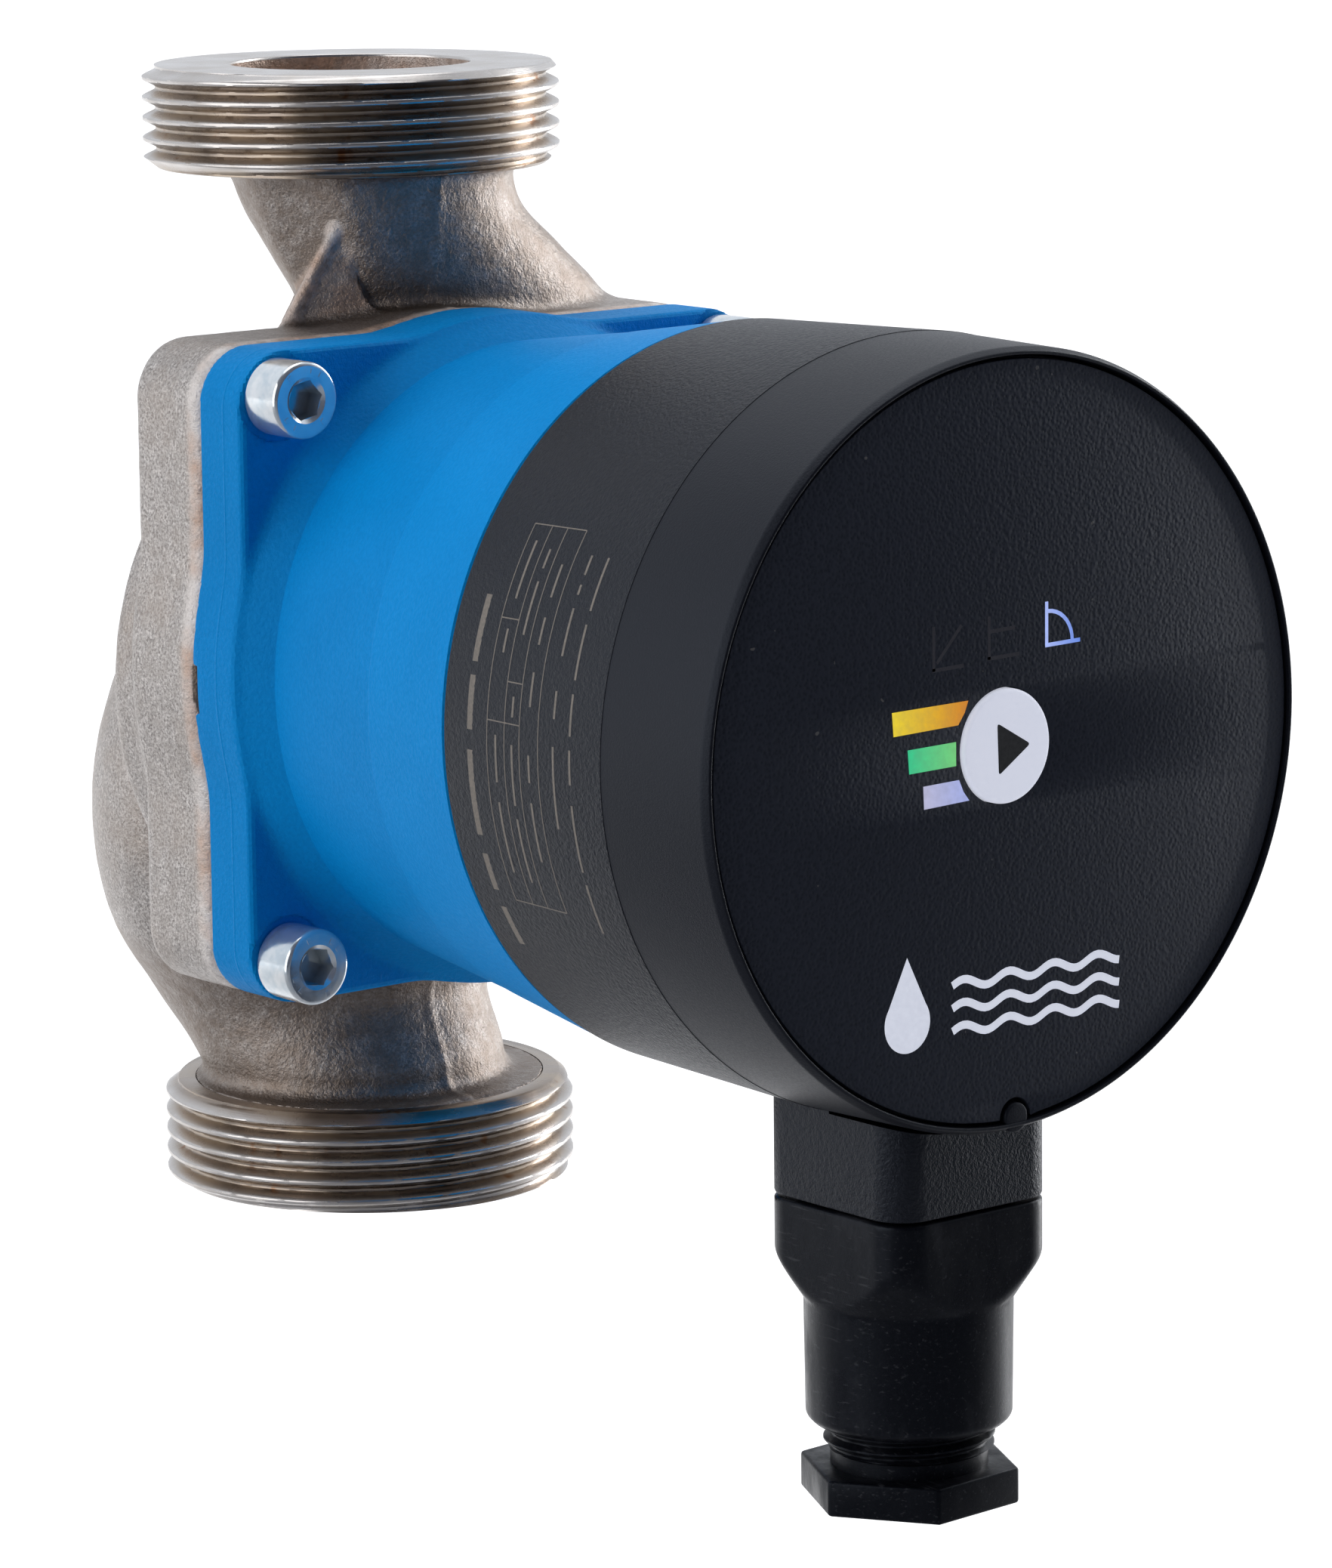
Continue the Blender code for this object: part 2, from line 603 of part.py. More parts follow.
def make_motor():
    plate("stator_core", [arc(0, 0, STATOR_RADIUS, 0, 351, 39), stator_hole()],
          STATOR_BACK, STATOR_FRONT, MOTOR, LAMINATION)
    middle = (STATOR_BACK + STATOR_FRONT) / 2
    stack = STATOR_FRONT - STATOR_BACK
    for number in range(1, SLOTS + 1):
        turn = Matrix.Rotation(math.radians(360 / SLOTS * number), 4, "Z")
        spot = MOTOR @ turn @ Matrix.Translation(((COIL_INNER + COIL_OUTER) / 2, 0, middle))
        size = (COIL_OUTER - COIL_INNER, 2 * COIL_HALF, stack + 2 * COIL_OVERHANG)
        coil = block(f"stator_coil_{number}", size, (0, 0, 0), COPPER, 0.0012)
        coil.matrix_world = spot
        pole = block(f"pole_{number}", (0.0100, 2 * (POLE_HALF + GAP), stack + 2 * GAP), (0, 0, 0), COPPER)
        pole.matrix_world = spot
        cut(coil, pole)
    can_hole = arc(0, 0, STATOR_RADIUS - 0.0012, 0, 351, 39)
    outlines = [flange_outline(), can_hole] + bolt_circles()
    housing = plate("stator_housing", outlines, SPLIT + GAP / 2, FLANGE_FRONT, MOTOR, PAINT)
    bore = STATOR_RADIUS + GAP
    body = turned(
        "stator_body",
        [(CAN_RADIUS + 0.0006, 0.0209), (0.0350, 0.0209), (0.0372, FLANGE_FRONT - 0.0005),
         (0.0379, FLANGE_FRONT + 0.0001), (STEP_RADIUS + 0.0004, STEP_DEPTH - 0.0006),
         (STEP_RADIUS, STEP_DEPTH + 0.0006), (CREASE_RADIUS, CREASE_DEPTH),
         (BOX_REAR_RADIUS, MOTOR_FRONT - GAP / 2), (0.0368, MOTOR_FRONT - GAP / 2), (0.0368, 0.0668),
         (0.0345, 0.0668), (0.0345, 0.0590), (bore, 0.0560), (bore, 0.0265), (CAN_RADIUS + 0.0006, 0.0245)],
        MOTOR, PAINT, STEPS_OUTER,
    )
    join(housing, body)
    drain = block("drain_slot", DRAIN_SIZE, (-FLANGE_BULGE + 0.0005, -SPLIT - GAP, DRAIN_HEIGHT), PAINT)
    cut(housing, drain)
    turned(
        "box_gasket", [(0.0349, 0.0672), (0.0364, 0.0672), (0.0364, 0.0684), (0.0349, 0.0684)],
        MOTOR, RUBBER,
    )


def make_bolts():
    """Four socket-head bolts that share one mesh."""
    seat = FLANGE_FRONT + GAP
    top = seat + BOLT_HEAD_HEIGHT
    head = BOLT_HEAD_RADIUS
    bolt = turned(
        "flange_bolt_1",
        [(0, BOLT_START), (BOLT_RADIUS - 0.0005, BOLT_START), (BOLT_RADIUS, BOLT_START + 0.0005),
         (BOLT_RADIUS, seat), (head, seat), (head, top - 0.0004), (head - 0.0004, top), (0, top)],
        MOTOR, ZINC, STEPS_SMALL,
    )
    key = turned(
        "key_socket",
        [(0, top - KEY_DEPTH), (KEY_RADIUS, top - KEY_DEPTH), (KEY_RADIUS, top + 0.0050), (0, top + 0.0050)],
        MOTOR, ZINC, 6,
    )
    cut(bolt, key)
    mesh = evaluated(bolt)
    bolt.modifiers.clear()
    bolt.data = mesh
    for number, (x, z) in enumerate(bolt_places(), 1):
        thing = bolt if number == 1 else link(mesh, "flange_bolt")
        finished(thing, f"flange_bolt_{number}", MOTOR @ Matrix.Translation((x, z, 0)), ZINC)


# ---------------------------------------------------------------- control box
DISC_BACK = 0.1104
COVER_BACK = 0.1080
CABLE_WAY = 0.0180           # radius of the hole in the shell's back, for the motor's leads
SOCKET_TOP = 0.0420
TAB_RADIUS = 0.0016
TAB_X = 0.0007
ICON_SIZE = (0.0210, 0.0036, 0.0056)
ICON_PLACE = (-0.0004, 0.0765)
BAR_PLACES = ((-0.0109, 0.0688, 0.0096), (-0.0106, 0.0647, 0.0064), (-0.0090, 0.0608, 0.0054))
BAR_HEIGHT = 0.0024
BOARD_RADIUS = 0.0360
BOARD_THICKNESS = 0.0016
DISPLAY_BOARD_BACK = 0.1010
POWER_BOARD_BACK = 0.0780
BOARD_RELIEF = (0.0260, 0.0200, 0.0160)   # cut from each board to clear the mains socket


def box_radius(depth):
    """The rear shell's outer radius, which grows a little towards the seam."""
    along = (depth - MOTOR_FRONT) / (SHELL_SEAM - MOTOR_FRONT)
    return BOX_REAR_RADIUS + along * (BOX_SEAM_RADIUS - BOX_REAR_RADIUS)


def contact_places():
    """Where the three contacts of the plug and the pins of its socket stand."""
    return [(CONTACT_PITCH * k, CONTACT_BACK - PLUG_DEPTH) for k in (-1, 0, 1)]


def light_guide(carrier, name, size, place):
    """A clear block that stands in a window of the carrier, just behind the disc."""
    (width, thickness, height), (x, z) = size, place
    window = block(f"{name}_window", (width + 2 * GAP, 0.0200, height + 2 * GAP), (x, -DISC_BACK, z), BLACK)
    cut(carrier, window)
    block(name, size, (x, thickness / 2 + GAP - DISC_BACK, z), CLEAR)


def make_control_box():
    back = MOTOR_FRONT + GAP / 2
    seam = SHELL_SEAM - GAP / 2
    shell = turned(
        "control_rear_shell",
        [(CABLE_WAY, back), (box_radius(back), back), (box_radius(seam), seam),
         (box_radius(seam) - BOX_WALL, seam), (box_radius(back) - BOX_WALL, back + BOX_WALL),
         (CABLE_WAY, back + BOX_WALL)],
        MOTOR, BLACK, STEPS_OUTER,
    )
    outline = rounded_square(PLUG_HALF, PLUG_CORNER)
    socket = plate("socket_block", [outline], PLUG_TOP + GAP, SOCKET_TOP, PLUG, BLACK)
    middle_of_wall = box_radius(seam) - BOX_WALL / 2
    trim = turned(
        "socket_trim",
        [(0, 0.0600), (middle_of_wall, 0.0600), (middle_of_wall, seam), (BOX_SEAM_RADIUS + GAP, seam),
         (BOX_SEAM_RADIUS + GAP, 0.1200), (0, 0.1200)],
        MOTOR, BLACK,
    )
    join(shell, cut(socket, trim))
    mouth = plate("socket_mouth", [rounded_square(PLUG_HALF - 0.0020, 0.0022)], 0.0100, 0.0200, PLUG, BLACK)
    cut(shell, mouth)
    for number, (x, y) in enumerate(contact_places(), 1):
        cut(shell, block(f"pin_slot_{number}", (0.0026, 0.0013, 0.0200), (x, y, 0.0260), BLACK))

    ring_back = SHELL_SEAM + GAP / 2
    ring = turned(
        "control_front_ring",
        [(BOX_SEAM_RADIUS - BOX_WALL, ring_back), (BOX_SEAM_RADIUS, ring_back),
         (BEZEL_RADIUS + 0.0002, BEZEL_FRONT - 0.0012), (BEZEL_RADIUS - 0.0003, BEZEL_FRONT),
         (DISC_RADIUS + 0.0004, BEZEL_FRONT), (DISC_RADIUS + GAP, DISC_BACK - GAP),
         (0.0290, DISC_BACK - GAP), (0.0290, COVER_BACK), (BOX_SEAM_RADIUS - BOX_WALL - 0.0004, COVER_BACK)],
        MOTOR, BLACK, STEPS_OUTER,
    )
    tab_place = MOTOR @ Matrix.Translation((TAB_X, 0.0001 - DISC_RADIUS, 0))
    tab_back, tab_front = DISC_BACK - 0.0012, BEZEL_FRONT - 0.0002
    tab = turned(
        "bezel_tab", [(0, tab_back), (TAB_RADIUS, tab_back), (TAB_RADIUS, tab_front), (0, tab_front)],
        tab_place, BLACK, STEPS_SMALL,
    )
    join(ring, tab)

    carrier = turned(
        "display_carrier",
        [(0.0080, COVER_BACK), (0.0286, COVER_BACK), (0.0286, DISC_BACK - GAP), (0.0080, DISC_BACK - GAP)],
        MOTOR, BLACK,
    )
    disc_front = BEZEL_FRONT - 0.0004
    disc = turned(
        "display_disc",
        [(0, DISC_BACK), (DISC_RADIUS, DISC_BACK), (DISC_RADIUS, disc_front), (0, disc_front)],
        MOTOR, DISC, STEPS_OUTER,
    )
    notch = round_cutter("tab_notch", TAB_RADIUS + 0.0005, 0.1050, 0.1200, tab_place, STEPS_SMALL)
    opening = round_cutter("button_opening", BUTTON_RADIUS + GAP, 0.1050, 0.1200, BUTTON, 24)
    cut(disc, notch, opening)
    for number, (x, z, width) in enumerate(BAR_PLACES, 1):
        light_guide(carrier, f"bar_light_guide_{number}", (width, ICON_SIZE[1], BAR_HEIGHT), (x, z))
    light_guide(carrier, "icon_light_guide", ICON_SIZE, ICON_PLACE)

    cap_front = BEZEL_FRONT + 0.0001
    turned(
        "mode_button",
        [(0, cap_front), (BUTTON_RADIUS - 0.0003, cap_front), (BUTTON_RADIUS, cap_front - 0.0003),
         (BUTTON_RADIUS, DISC_BACK - GAP), (0.0048, DISC_BACK - GAP), (0.0048, 0.1066), (0.0016, 0.1066),
         (0.0016, 0.1052), (0, 0.1052)],
        BUTTON, WHITE, 24,
    )


def make_electronics():
    """The boards and what stands on them, in the control box."""
    for name, back in (("display_board", DISPLAY_BOARD_BACK), ("power_board", POWER_BOARD_BACK)):
        front = back + BOARD_THICKNESS
        outline = [(0, back), (BOARD_RADIUS, back), (BOARD_RADIUS, front), (0, front)]
        board = turned(name, outline, MOTOR, BOARD)
        cut(board, block(f"{name}_relief", BOARD_RELIEF, (0, -(back + front) / 2, 0.0330), BOARD))
    block("button_switch", (0.0060, 0.0014, 0.0060), (BUTTON_X, -0.1036, BUTTON_Z), BLACK, 0.0003)
    turned("smoothing_capacitor",
           [(0, 0.0799), (0.0080, 0.0799), (0.0080, 0.0975), (0.0074, 0.0980), (0, 0.0980)],
           MOTOR @ Matrix.Translation((0.0180, 0.0120, 0)), LAMINATION, STEPS_SMALL)
    turned("filter_choke",
           [(0.0032, 0.0801), (0.0086, 0.0801), (0.0092, 0.0820), (0.0092, 0.0870), (0.0086, 0.0889),
            (0.0032, 0.0889)],
           MOTOR @ Matrix.Translation((-0.0180, 0.0130, 0)), COPPER, STEPS_SMALL)
    block("power_module", (0.0200, 0.0044, 0.0120), (0, -0.0757 + GAP, 0.0880), CARBON, 0.0004)
    block("mains_relay", (0.0140, 0.0130, 0.0100), (-0.0190, -0.0864, 0.0560), WHITE, 0.0005)
    block("board_header", (0.0200, 0.0208, 0.0050), (0.0080, -0.0903, 0.0560), BLACK)
    turned("motor_lead_guide",
           [(0.0080, 0.0660), (0.0140, 0.0660), (0.0140, 0.0776), (0.0080, 0.0776)],
           MOTOR, WHITE, STEPS_SMALL)
    for number, (x, y) in enumerate(contact_places(), 1):
        block(f"socket_pin_{number}", (0.0020, 0.0007, 0.0230), (x, y, 0.0285), TIN)


# ---------------------------------------------------------------- mains plug
def plug_section(height, roundness, radius):
    """The plug's outline at one height, from its square top (0) to its round barrel (1)."""
    ring = []
    for x, y in rounded_square(PLUG_HALF, PLUG_CORNER, 4, 3):
        scale = 1 + roundness * (radius / math.hypot(x, y) - 1)
        ring.append((x * scale, y * scale, height))
    return ring


def make_plug():
    """The cable plug that pushes up into the socket, with its cable gland."""
    middle = PLUG_ROUND_TOP + 0.35 * (PLUG_SHOULDER - PLUG_ROUND_TOP)
    levels = [
        (PLUG_TOP, 0.0, PLUG_ROUND_RADIUS), (PLUG_SHOULDER, 0.0, PLUG_ROUND_RADIUS),
        (middle, 0.72, PLUG_ROUND_RADIUS), (PLUG_ROUND_TOP, 1.0, PLUG_ROUND_RADIUS),
        (PLUG_BOTTOM + 0.0012, 1.0, PLUG_ROUND_RADIUS - 0.0002),
        (PLUG_BOTTOM, 1.0, PLUG_ROUND_RADIUS - 0.0010),
    ]
    plug = skin("plug_body", [plug_section(*level) for level in levels], PLUG, BLACK)
    boss = plate("plug_boss", [rounded_square(PLUG_HALF - 0.0020 - GAP, 0.0020)], 0.0100, 0.0190, PLUG, BLACK)
    join(plug, boss)
    bore_radius = GLAND_RADIUS + GAP
    bore = turned(
        "plug_bore",
        [(0, 0.0040), (0.0086, 0.0040), (bore_radius, 0.0030), (bore_radius, -0.0200), (0, -0.0200)],
        PLUG, BLACK, 24,
    )
    cut(plug, bore)
    for number, (x, y) in enumerate(contact_places(), 1):
        cut(plug, block(f"contact_slot_{number}", (0.0034, 0.0030, 0.0300), (x, y, 0.0120), BLACK))
        plate(
            f"plug_contact_{number}", [rectangle(0.0014, 0.0012), rectangle(0.0013, 0.00065)],
            0.0062, 0.0180, Matrix.Translation((x, y, 0)), BRASS,
        )
    turned(
        "cable_seal",
        [(0.0046, -0.0010), (0.0076, -0.0010), (0.0084, 0.0000), (0.0084, 0.0025), (0.0046, 0.0025)],
        PLUG, RUBBER, STEPS_SMALL,
    )
    turned(
        "gland_washer",
        [(GLAND_BORE, -0.0064), (0.0088, -0.0064), (0.0088, -0.0058), (GLAND_BORE, -0.0058)],
        PLUG, ZINC, STEPS_SMALL,
    )
    neck = GLAND_RADIUS - 0.0003
    screw = turned(
        "gland_screw",
        [(GLAND_BORE, NUT_BOTTOM + 0.0008), (neck, NUT_BOTTOM + 0.0008), (neck, -0.0130),
         (GLAND_RADIUS, -0.0128), (GLAND_RADIUS, -0.0072), (GLAND_RADIUS - 0.0005, GLAND_TOP),
         (GLAND_BORE, GLAND_TOP)],
        PLUG, BLACK, 24,
    )
    corners = arc(0, 0, NUT_ACROSS_FLATS / math.sqrt(3), 0, 300, 5)
    turn = Matrix.Rotation(math.radians(-90) - NUT_TURN, 4, "Z")
    head = plate("gland_head", [corners], NUT_BOTTOM, NUT_TOP, PLUG @ turn, BLACK)
    way = turned(
        "cable_way",
        [(0, -0.0300), (GLAND_BORE + 0.0010, -0.0300), (GLAND_BORE, -0.0170), (GLAND_BORE, -0.0040),
         (0, -0.0040)],
        PLUG, BLACK, 24,
    )
    join(screw, head)
    cut(screw, way)


make_pump_housing()
make_wet_end()
make_rotor()
make_motor()
make_bolts()
make_control_box()
make_electronics()
make_plug()
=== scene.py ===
"""The looks of an inline circulator pump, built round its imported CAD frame.

The pipe runs up +Z and the motor lies along -Y. Shapes are made in millimetres,
and finished() scales them to the frame's metres. A "depth" is a distance in
front of the pipe's axis, so it is -y.
"""

import json
import math

import bmesh
import bpy
import numpy as np
from mathutils import Matrix, Vector, noise


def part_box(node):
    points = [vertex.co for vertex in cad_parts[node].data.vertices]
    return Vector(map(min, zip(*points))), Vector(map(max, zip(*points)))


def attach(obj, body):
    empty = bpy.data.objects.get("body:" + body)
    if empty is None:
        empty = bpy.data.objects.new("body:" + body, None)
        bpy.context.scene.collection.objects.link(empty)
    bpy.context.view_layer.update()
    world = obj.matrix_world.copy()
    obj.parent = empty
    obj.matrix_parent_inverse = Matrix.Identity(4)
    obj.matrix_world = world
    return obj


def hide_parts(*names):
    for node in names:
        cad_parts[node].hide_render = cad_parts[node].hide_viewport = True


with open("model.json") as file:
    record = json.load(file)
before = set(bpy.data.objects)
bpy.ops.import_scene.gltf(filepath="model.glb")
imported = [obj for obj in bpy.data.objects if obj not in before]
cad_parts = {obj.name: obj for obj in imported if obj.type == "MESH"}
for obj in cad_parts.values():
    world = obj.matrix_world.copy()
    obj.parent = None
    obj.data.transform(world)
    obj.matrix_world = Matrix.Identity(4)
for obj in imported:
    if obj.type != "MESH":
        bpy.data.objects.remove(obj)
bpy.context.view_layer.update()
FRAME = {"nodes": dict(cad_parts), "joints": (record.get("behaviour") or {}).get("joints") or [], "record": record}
JOINTS = {joint["name"]: joint for joint in FRAME["joints"]}
MM = 0.001


# ---------------------------------------------------------------- sizes, in millimetres
def box(node):
    """A CAD node's low and high corners."""
    low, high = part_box(node)
    return low / MM, high / MM


def depths(node):
    """How far in front of the pipe's axis a node's back and front lie."""
    low, high = box(node)
    return -high.y, -low.y


def half_width(node):
    low, high = box(node)
    return (high.x - low.x) / 2


def facing_front(x, z):
    """Turns what is made along Z so that it faces the front, at a place in the XZ plane."""
    return Matrix.Translation((x, 0, z)) @ Matrix.Rotation(math.radians(90), 4, "X")


MOTOR_HEIGHT = JOINTS["rotor_spin"]["pos_m"][2] / MM
PLUG_DEPTH = -JOINTS["gland_turn"]["pos_m"][1] / MM
PORT_SPAN = box("pump_housing")[1].z

THREAD_CREST = 23.9
THREAD_PITCH = 2.309
THREAD_DEPTH = 1.479
PORT_LENGTH = 11.6
PORT_BORE = 13.8
RING_CORE = 20.4                 # where a threaded ring meets the cast neck inside it

FLANGE_HALF = 36.4
FLANGE_CORNER = 6.5
FLANGE_BULGE = half_width("pump_housing")
FLANGE_BACK = 7.1
SPLIT = 20.0                     # where the casting ends
PAINT_BACK = depths("stator_housing")[0]
FLANGE_FRONT = 28.0
STEP_DEPTH = 32.0
STEP_RADIUS = 35.5
CREASE_DEPTH = 52.4
CREASE_RADIUS = 38.1
MOULD_LINE = 24.6                # the depth of the line round the painted flange
BOLT_OFFSET = sum(corner.x for corner in box("flange_bolt_2")) / 2
BOLT_RADIUS = 2.5
HOLE_RADIUS = 2.8
DRAIN_HEIGHT = 63.8              # the drain slot between the flanges, on the left
DRAIN_DEPTH = 21.0
DRAIN_END = 34.0

GAP = 0.3                        # what touching pieces keep between them
SHELL_BACK = depths("control_rear_shell")[0]
RING_BACK = depths("control_front_ring")[0]
DISC_BACK, DISC_FRONT = depths("display_disc")
DISC_RADIUS = half_width("display_disc")
SHELL_RADIUS = half_width("control_rear_shell")
SHELL_FLARE = 0.8
SHELL_REAR_RADIUS = SHELL_RADIUS - SHELL_FLARE
WALL = 2.0

SOCKET_HALF = 11.25
SOCKET_CORNER = 4.0
PLUG_TOP = 14.3

BUTTON_LOW, BUTTON_HIGH = box("mode_button")
BUTTON_X = (BUTTON_LOW.x + BUTTON_HIGH.x) / 2
BUTTON_Z = (BUTTON_LOW.z + BUTTON_HIGH.z) / 2
BUTTON_RADIUS = half_width("mode_button")
TAB_X = 0.7
TAB_DROP = DISC_RADIUS - 0.1

HERE = Matrix.Identity(4)
MOTOR = facing_front(0, MOTOR_HEIGHT)
PLUG = Matrix.Translation((0, -PLUG_DEPTH, 0))


# ---------------------------------------------------------------- camera, light and floor, in metres
CAMERA_PLACE = Vector((-0.437635, -0.591602, 0.178289))
CAMERA_RIGHT = Vector((0.77368, -0.63349, -0.01086))
CAMERA_UP = Vector((0.11576, 0.12448, 0.98545))
CAMERA_BACK = CAMERA_RIGHT.cross(CAMERA_UP)
LENS_MM = 146.76
SENSOR_MM = 36.0
FLOOR_HEIGHT = -0.25
FRONT_GLOOM = (0.078, 0.082, 0.105)
BACK_GLOW = (0.80, 0.83, 0.88)


def add_camera():
    camera = bpy.data.cameras.new("camera")
    camera.sensor_width = SENSOR_MM
    camera.lens = LENS_MM
    camera.shift_x = 0.0030
    camera.shift_y = -0.0338
    camera.clip_start = 0.01
    camera.clip_end = 50
    thing = bpy.data.objects.new("camera", camera)
    axes = Matrix((CAMERA_RIGHT, CAMERA_UP, CAMERA_BACK)).transposed()
    thing.matrix_world = Matrix.Translation(CAMERA_PLACE) @ axes.to_4x4()
    bpy.context.scene.collection.objects.link(thing)
    bpy.context.scene.camera = thing


def add_panel(name, place, target, size, power, colour=(1, 1, 1)):
    """A soft rectangular light, aimed at a point."""
    light = bpy.data.lights.new(name, "AREA")
    light.shape = "RECTANGLE"
    light.size, light.size_y = size
    light.energy = power
    light.color = colour
    thing = bpy.data.objects.new(name, light)
    aim = (Vector(target) - Vector(place)).to_track_quat("-Z", "Y")
    thing.matrix_world = Matrix.Translation(place) @ aim.to_matrix().to_4x4()
    bpy.context.scene.collection.objects.link(thing)


def backdrop_shade(nodes, place, start, end):
    """How bright the surround is, from 1 behind the object to 0 on the camera's side."""
    toward_camera = Vector((CAMERA_BACK.x, CAMERA_BACK.y, 0)).normalized()
    facing = nodes.add("ShaderNodeVectorMath", {0: place, 1: toward_camera}, operation="DOT_PRODUCT")
    return nodes.span(facing.outputs["Value"], start, end, 1.0, 0.0, interpolation_type="SMOOTHSTEP")


def add_light():
    """A white surround that is dark on the camera's side, with a soft light on each side."""
    middle = Vector((0, -0.045, 0.06))
    add_panel("left_light", (-1.45, 0.22, 0.35), middle, (1.5, 1.7), 15.0)
    add_panel("right_light", (0.78, -0.05, 0.20), middle, (0.25, 0.8), 4.6)
    add_panel("top_light", (0.05, 0.10, 0.90), middle, (0.7, 0.7), 2.0)

    world = bpy.data.worlds.new("surround")
    world.use_nodes = True
    bpy.context.scene.world = world
    sky = Nodes(world.node_tree)
    sky.tree.nodes.clear()
    way = sky.add("ShaderNodeTexCoord").outputs["Generated"]
    shade = backdrop_shade(sky, way, -0.30, 0.30)
    lit = sky.add("ShaderNodeBackground", {"Color": sky.blend(shade, FRONT_GLOOM, BACK_GLOW)})
    plain = sky.add("ShaderNodeBackground", {"Color": (1, 1, 1)})
    seen = sky.add("ShaderNodeLightPath").outputs["Is Camera Ray"]
    mix = sky.add("ShaderNodeMixShader", {0: seen, 1: lit.outputs[0], 2: plain.outputs[0]})
    sky.add("ShaderNodeOutputWorld", {"Surface": mix.outputs[0]})
    bpy.context.scene.view_settings.view_transform = "Standard"


def add_floor():
    """A pale floor that glows behind the object, and is plain white to look at."""
    bpy.ops.mesh.primitive_plane_add(size=16, location=(0, 0, FLOOR_HEIGHT))
    floor = bpy.context.object
    floor.name = "floor"
    look = Recipe("floor", (0.35, 0.35, 0.36), 0.9)
    glow = backdrop_shade(look, look.place, -0.5, 0.15)
    seen = look.add("ShaderNodeLightPath").outputs["Is Camera Ray"]
    look.shade("Emission Color", (1, 1, 1))
    look.shade("Emission Strength", look.math("MAXIMUM", glow, seen))
    floor.data.materials.append(look.material)


# ---------------------------------------------------------------- materials
CONSTANT_SOCKETS = {
    "coat": "Coat Weight",
    "glow": "Emission Strength",
    "specular": "Specular IOR Level",
    "tint": "Specular Tint",
}
# A blue tint on the plastics' reflections, as painted light.
PAINTED_BLUE_REFLECTION = (0.74, 0.84, 1.0, 1.0)


class Nodes:
    """A node tree, with short calls that add to it."""

    def __init__(self, tree):
        self.tree = tree

    def join(self, value, socket):
        """Links a socket, or sets a plain number or colour."""
        if isinstance(value, bpy.types.NodeSocket):
            self.tree.links.new(value, socket)
        elif isinstance(value, tuple) and len(value) == 3 and socket.type == "RGBA":
            socket.default_value = (*value, 1)
        else:
            socket.default_value = value

    def add(self, kind, inputs=None, **settings):
        """A new node, with its settings made and its inputs joined."""
        node = self.tree.nodes.new(kind)
        for name, value in settings.items():
            setattr(node, name, value)
        for socket, value in (inputs or {}).items():
            self.join(value, node.inputs[socket])
        return node

    def blend(self, factor, first, second):
        """Mixes two colours."""
        return self.add("ShaderNodeMix", {0: factor, 6: first, 7: second}, data_type="RGBA").outputs[2]

    def math(self, operation, first, second):
        return self.add("ShaderNodeMath", {0: first, 1: second}, operation=operation).outputs[0]

    def span(self, value, low, high, to_low=0.0, to_high=1.0, **settings):
        """Maps a value's range onto another, and keeps it there."""
        inputs = {"Value": value, "From Min": low, "From Max": high, "To Min": to_low, "To Max": to_high}
        return self.add("ShaderNodeMapRange", inputs, **settings).outputs["Result"]


class Recipe(Nodes):
    """One material, with short calls for what makes its looks."""

    def __init__(self, name, colour=(0.8, 0.8, 0.8), roughness=0.5, metallic=0.0, **constants):
        self.material = bpy.data.materials.new(name)
        self.material.use_nodes = True
        super().__init__(self.material.node_tree)
        self.shader = self.tree.nodes["Principled BSDF"]
        self.shade("Base Color", colour)
        self.shade("Roughness", roughness)
        self.shade("Metallic", metallic)
        for socket, value in constants.items():
            self.shade(CONSTANT_SOCKETS[socket], value)
        self.place = self.add("ShaderNodeTexCoord").outputs["Object"]
        self.normal = None

    def shade(self, socket, value):
        """Sets or links one of the shader's own sockets."""
        self.join(value, self.shader.inputs[socket])

    def part(self, axis):
        """One of the place's three coordinates."""
        return self.add("ShaderNodeSeparateXYZ", {0: self.place}).outputs[axis]

    def stretched(self, scale, turn=(0, 0, 0)):
        inputs = {"Vector": self.place, "Scale": scale, "Rotation": turn}
        return self.add("ShaderNodeMapping", inputs).outputs[0]

    def noise(self, per_mm, detail=2.0, rough=0.5, place=None):
        """Soft noise whose blobs are about 1 / per_mm millimetres across."""
        inputs = {"Vector": place or self.place, "Scale": per_mm / MM, "Detail": detail, "Roughness": rough}
        return self.add("ShaderNodeTexNoise", inputs).outputs["Fac"]

    def cells(self, per_mm):
        """How far each place is from the middle of its soft-edged cell."""
        inputs = {"Vector": self.place, "Scale": per_mm / MM}
        return self.add("ShaderNodeTexVoronoi", inputs, feature="SMOOTH_F1").outputs["Distance"]

    def stripes(self, axis, pitch_mm):
        """Waves from -1 to 1 along an axis."""
        return self.math("SINE", self.math("MULTIPLY", self.part(axis), 2 * math.pi / (pitch_mm * MM)), 0.0)

    def painted(self, name):
        """A value that was painted on the mesh's points."""
        return self.add("ShaderNodeAttribute", attribute_name=name).outputs["Fac"]

    def bump(self, height, depth_mm, strength=1.0):
        """Lays relief over the relief that is there already."""
        inputs = {"Strength": strength, "Distance": depth_mm * MM, "Height": height}
        if self.normal:
            inputs["Normal"] = self.normal
        self.normal = self.add("ShaderNodeBump", inputs).outputs["Normal"]
        self.shade("Normal", self.normal)

    def colour(self, value):
        self.shade("Base Color", value)

    def roughness(self, value):
        self.shade("Roughness", value)


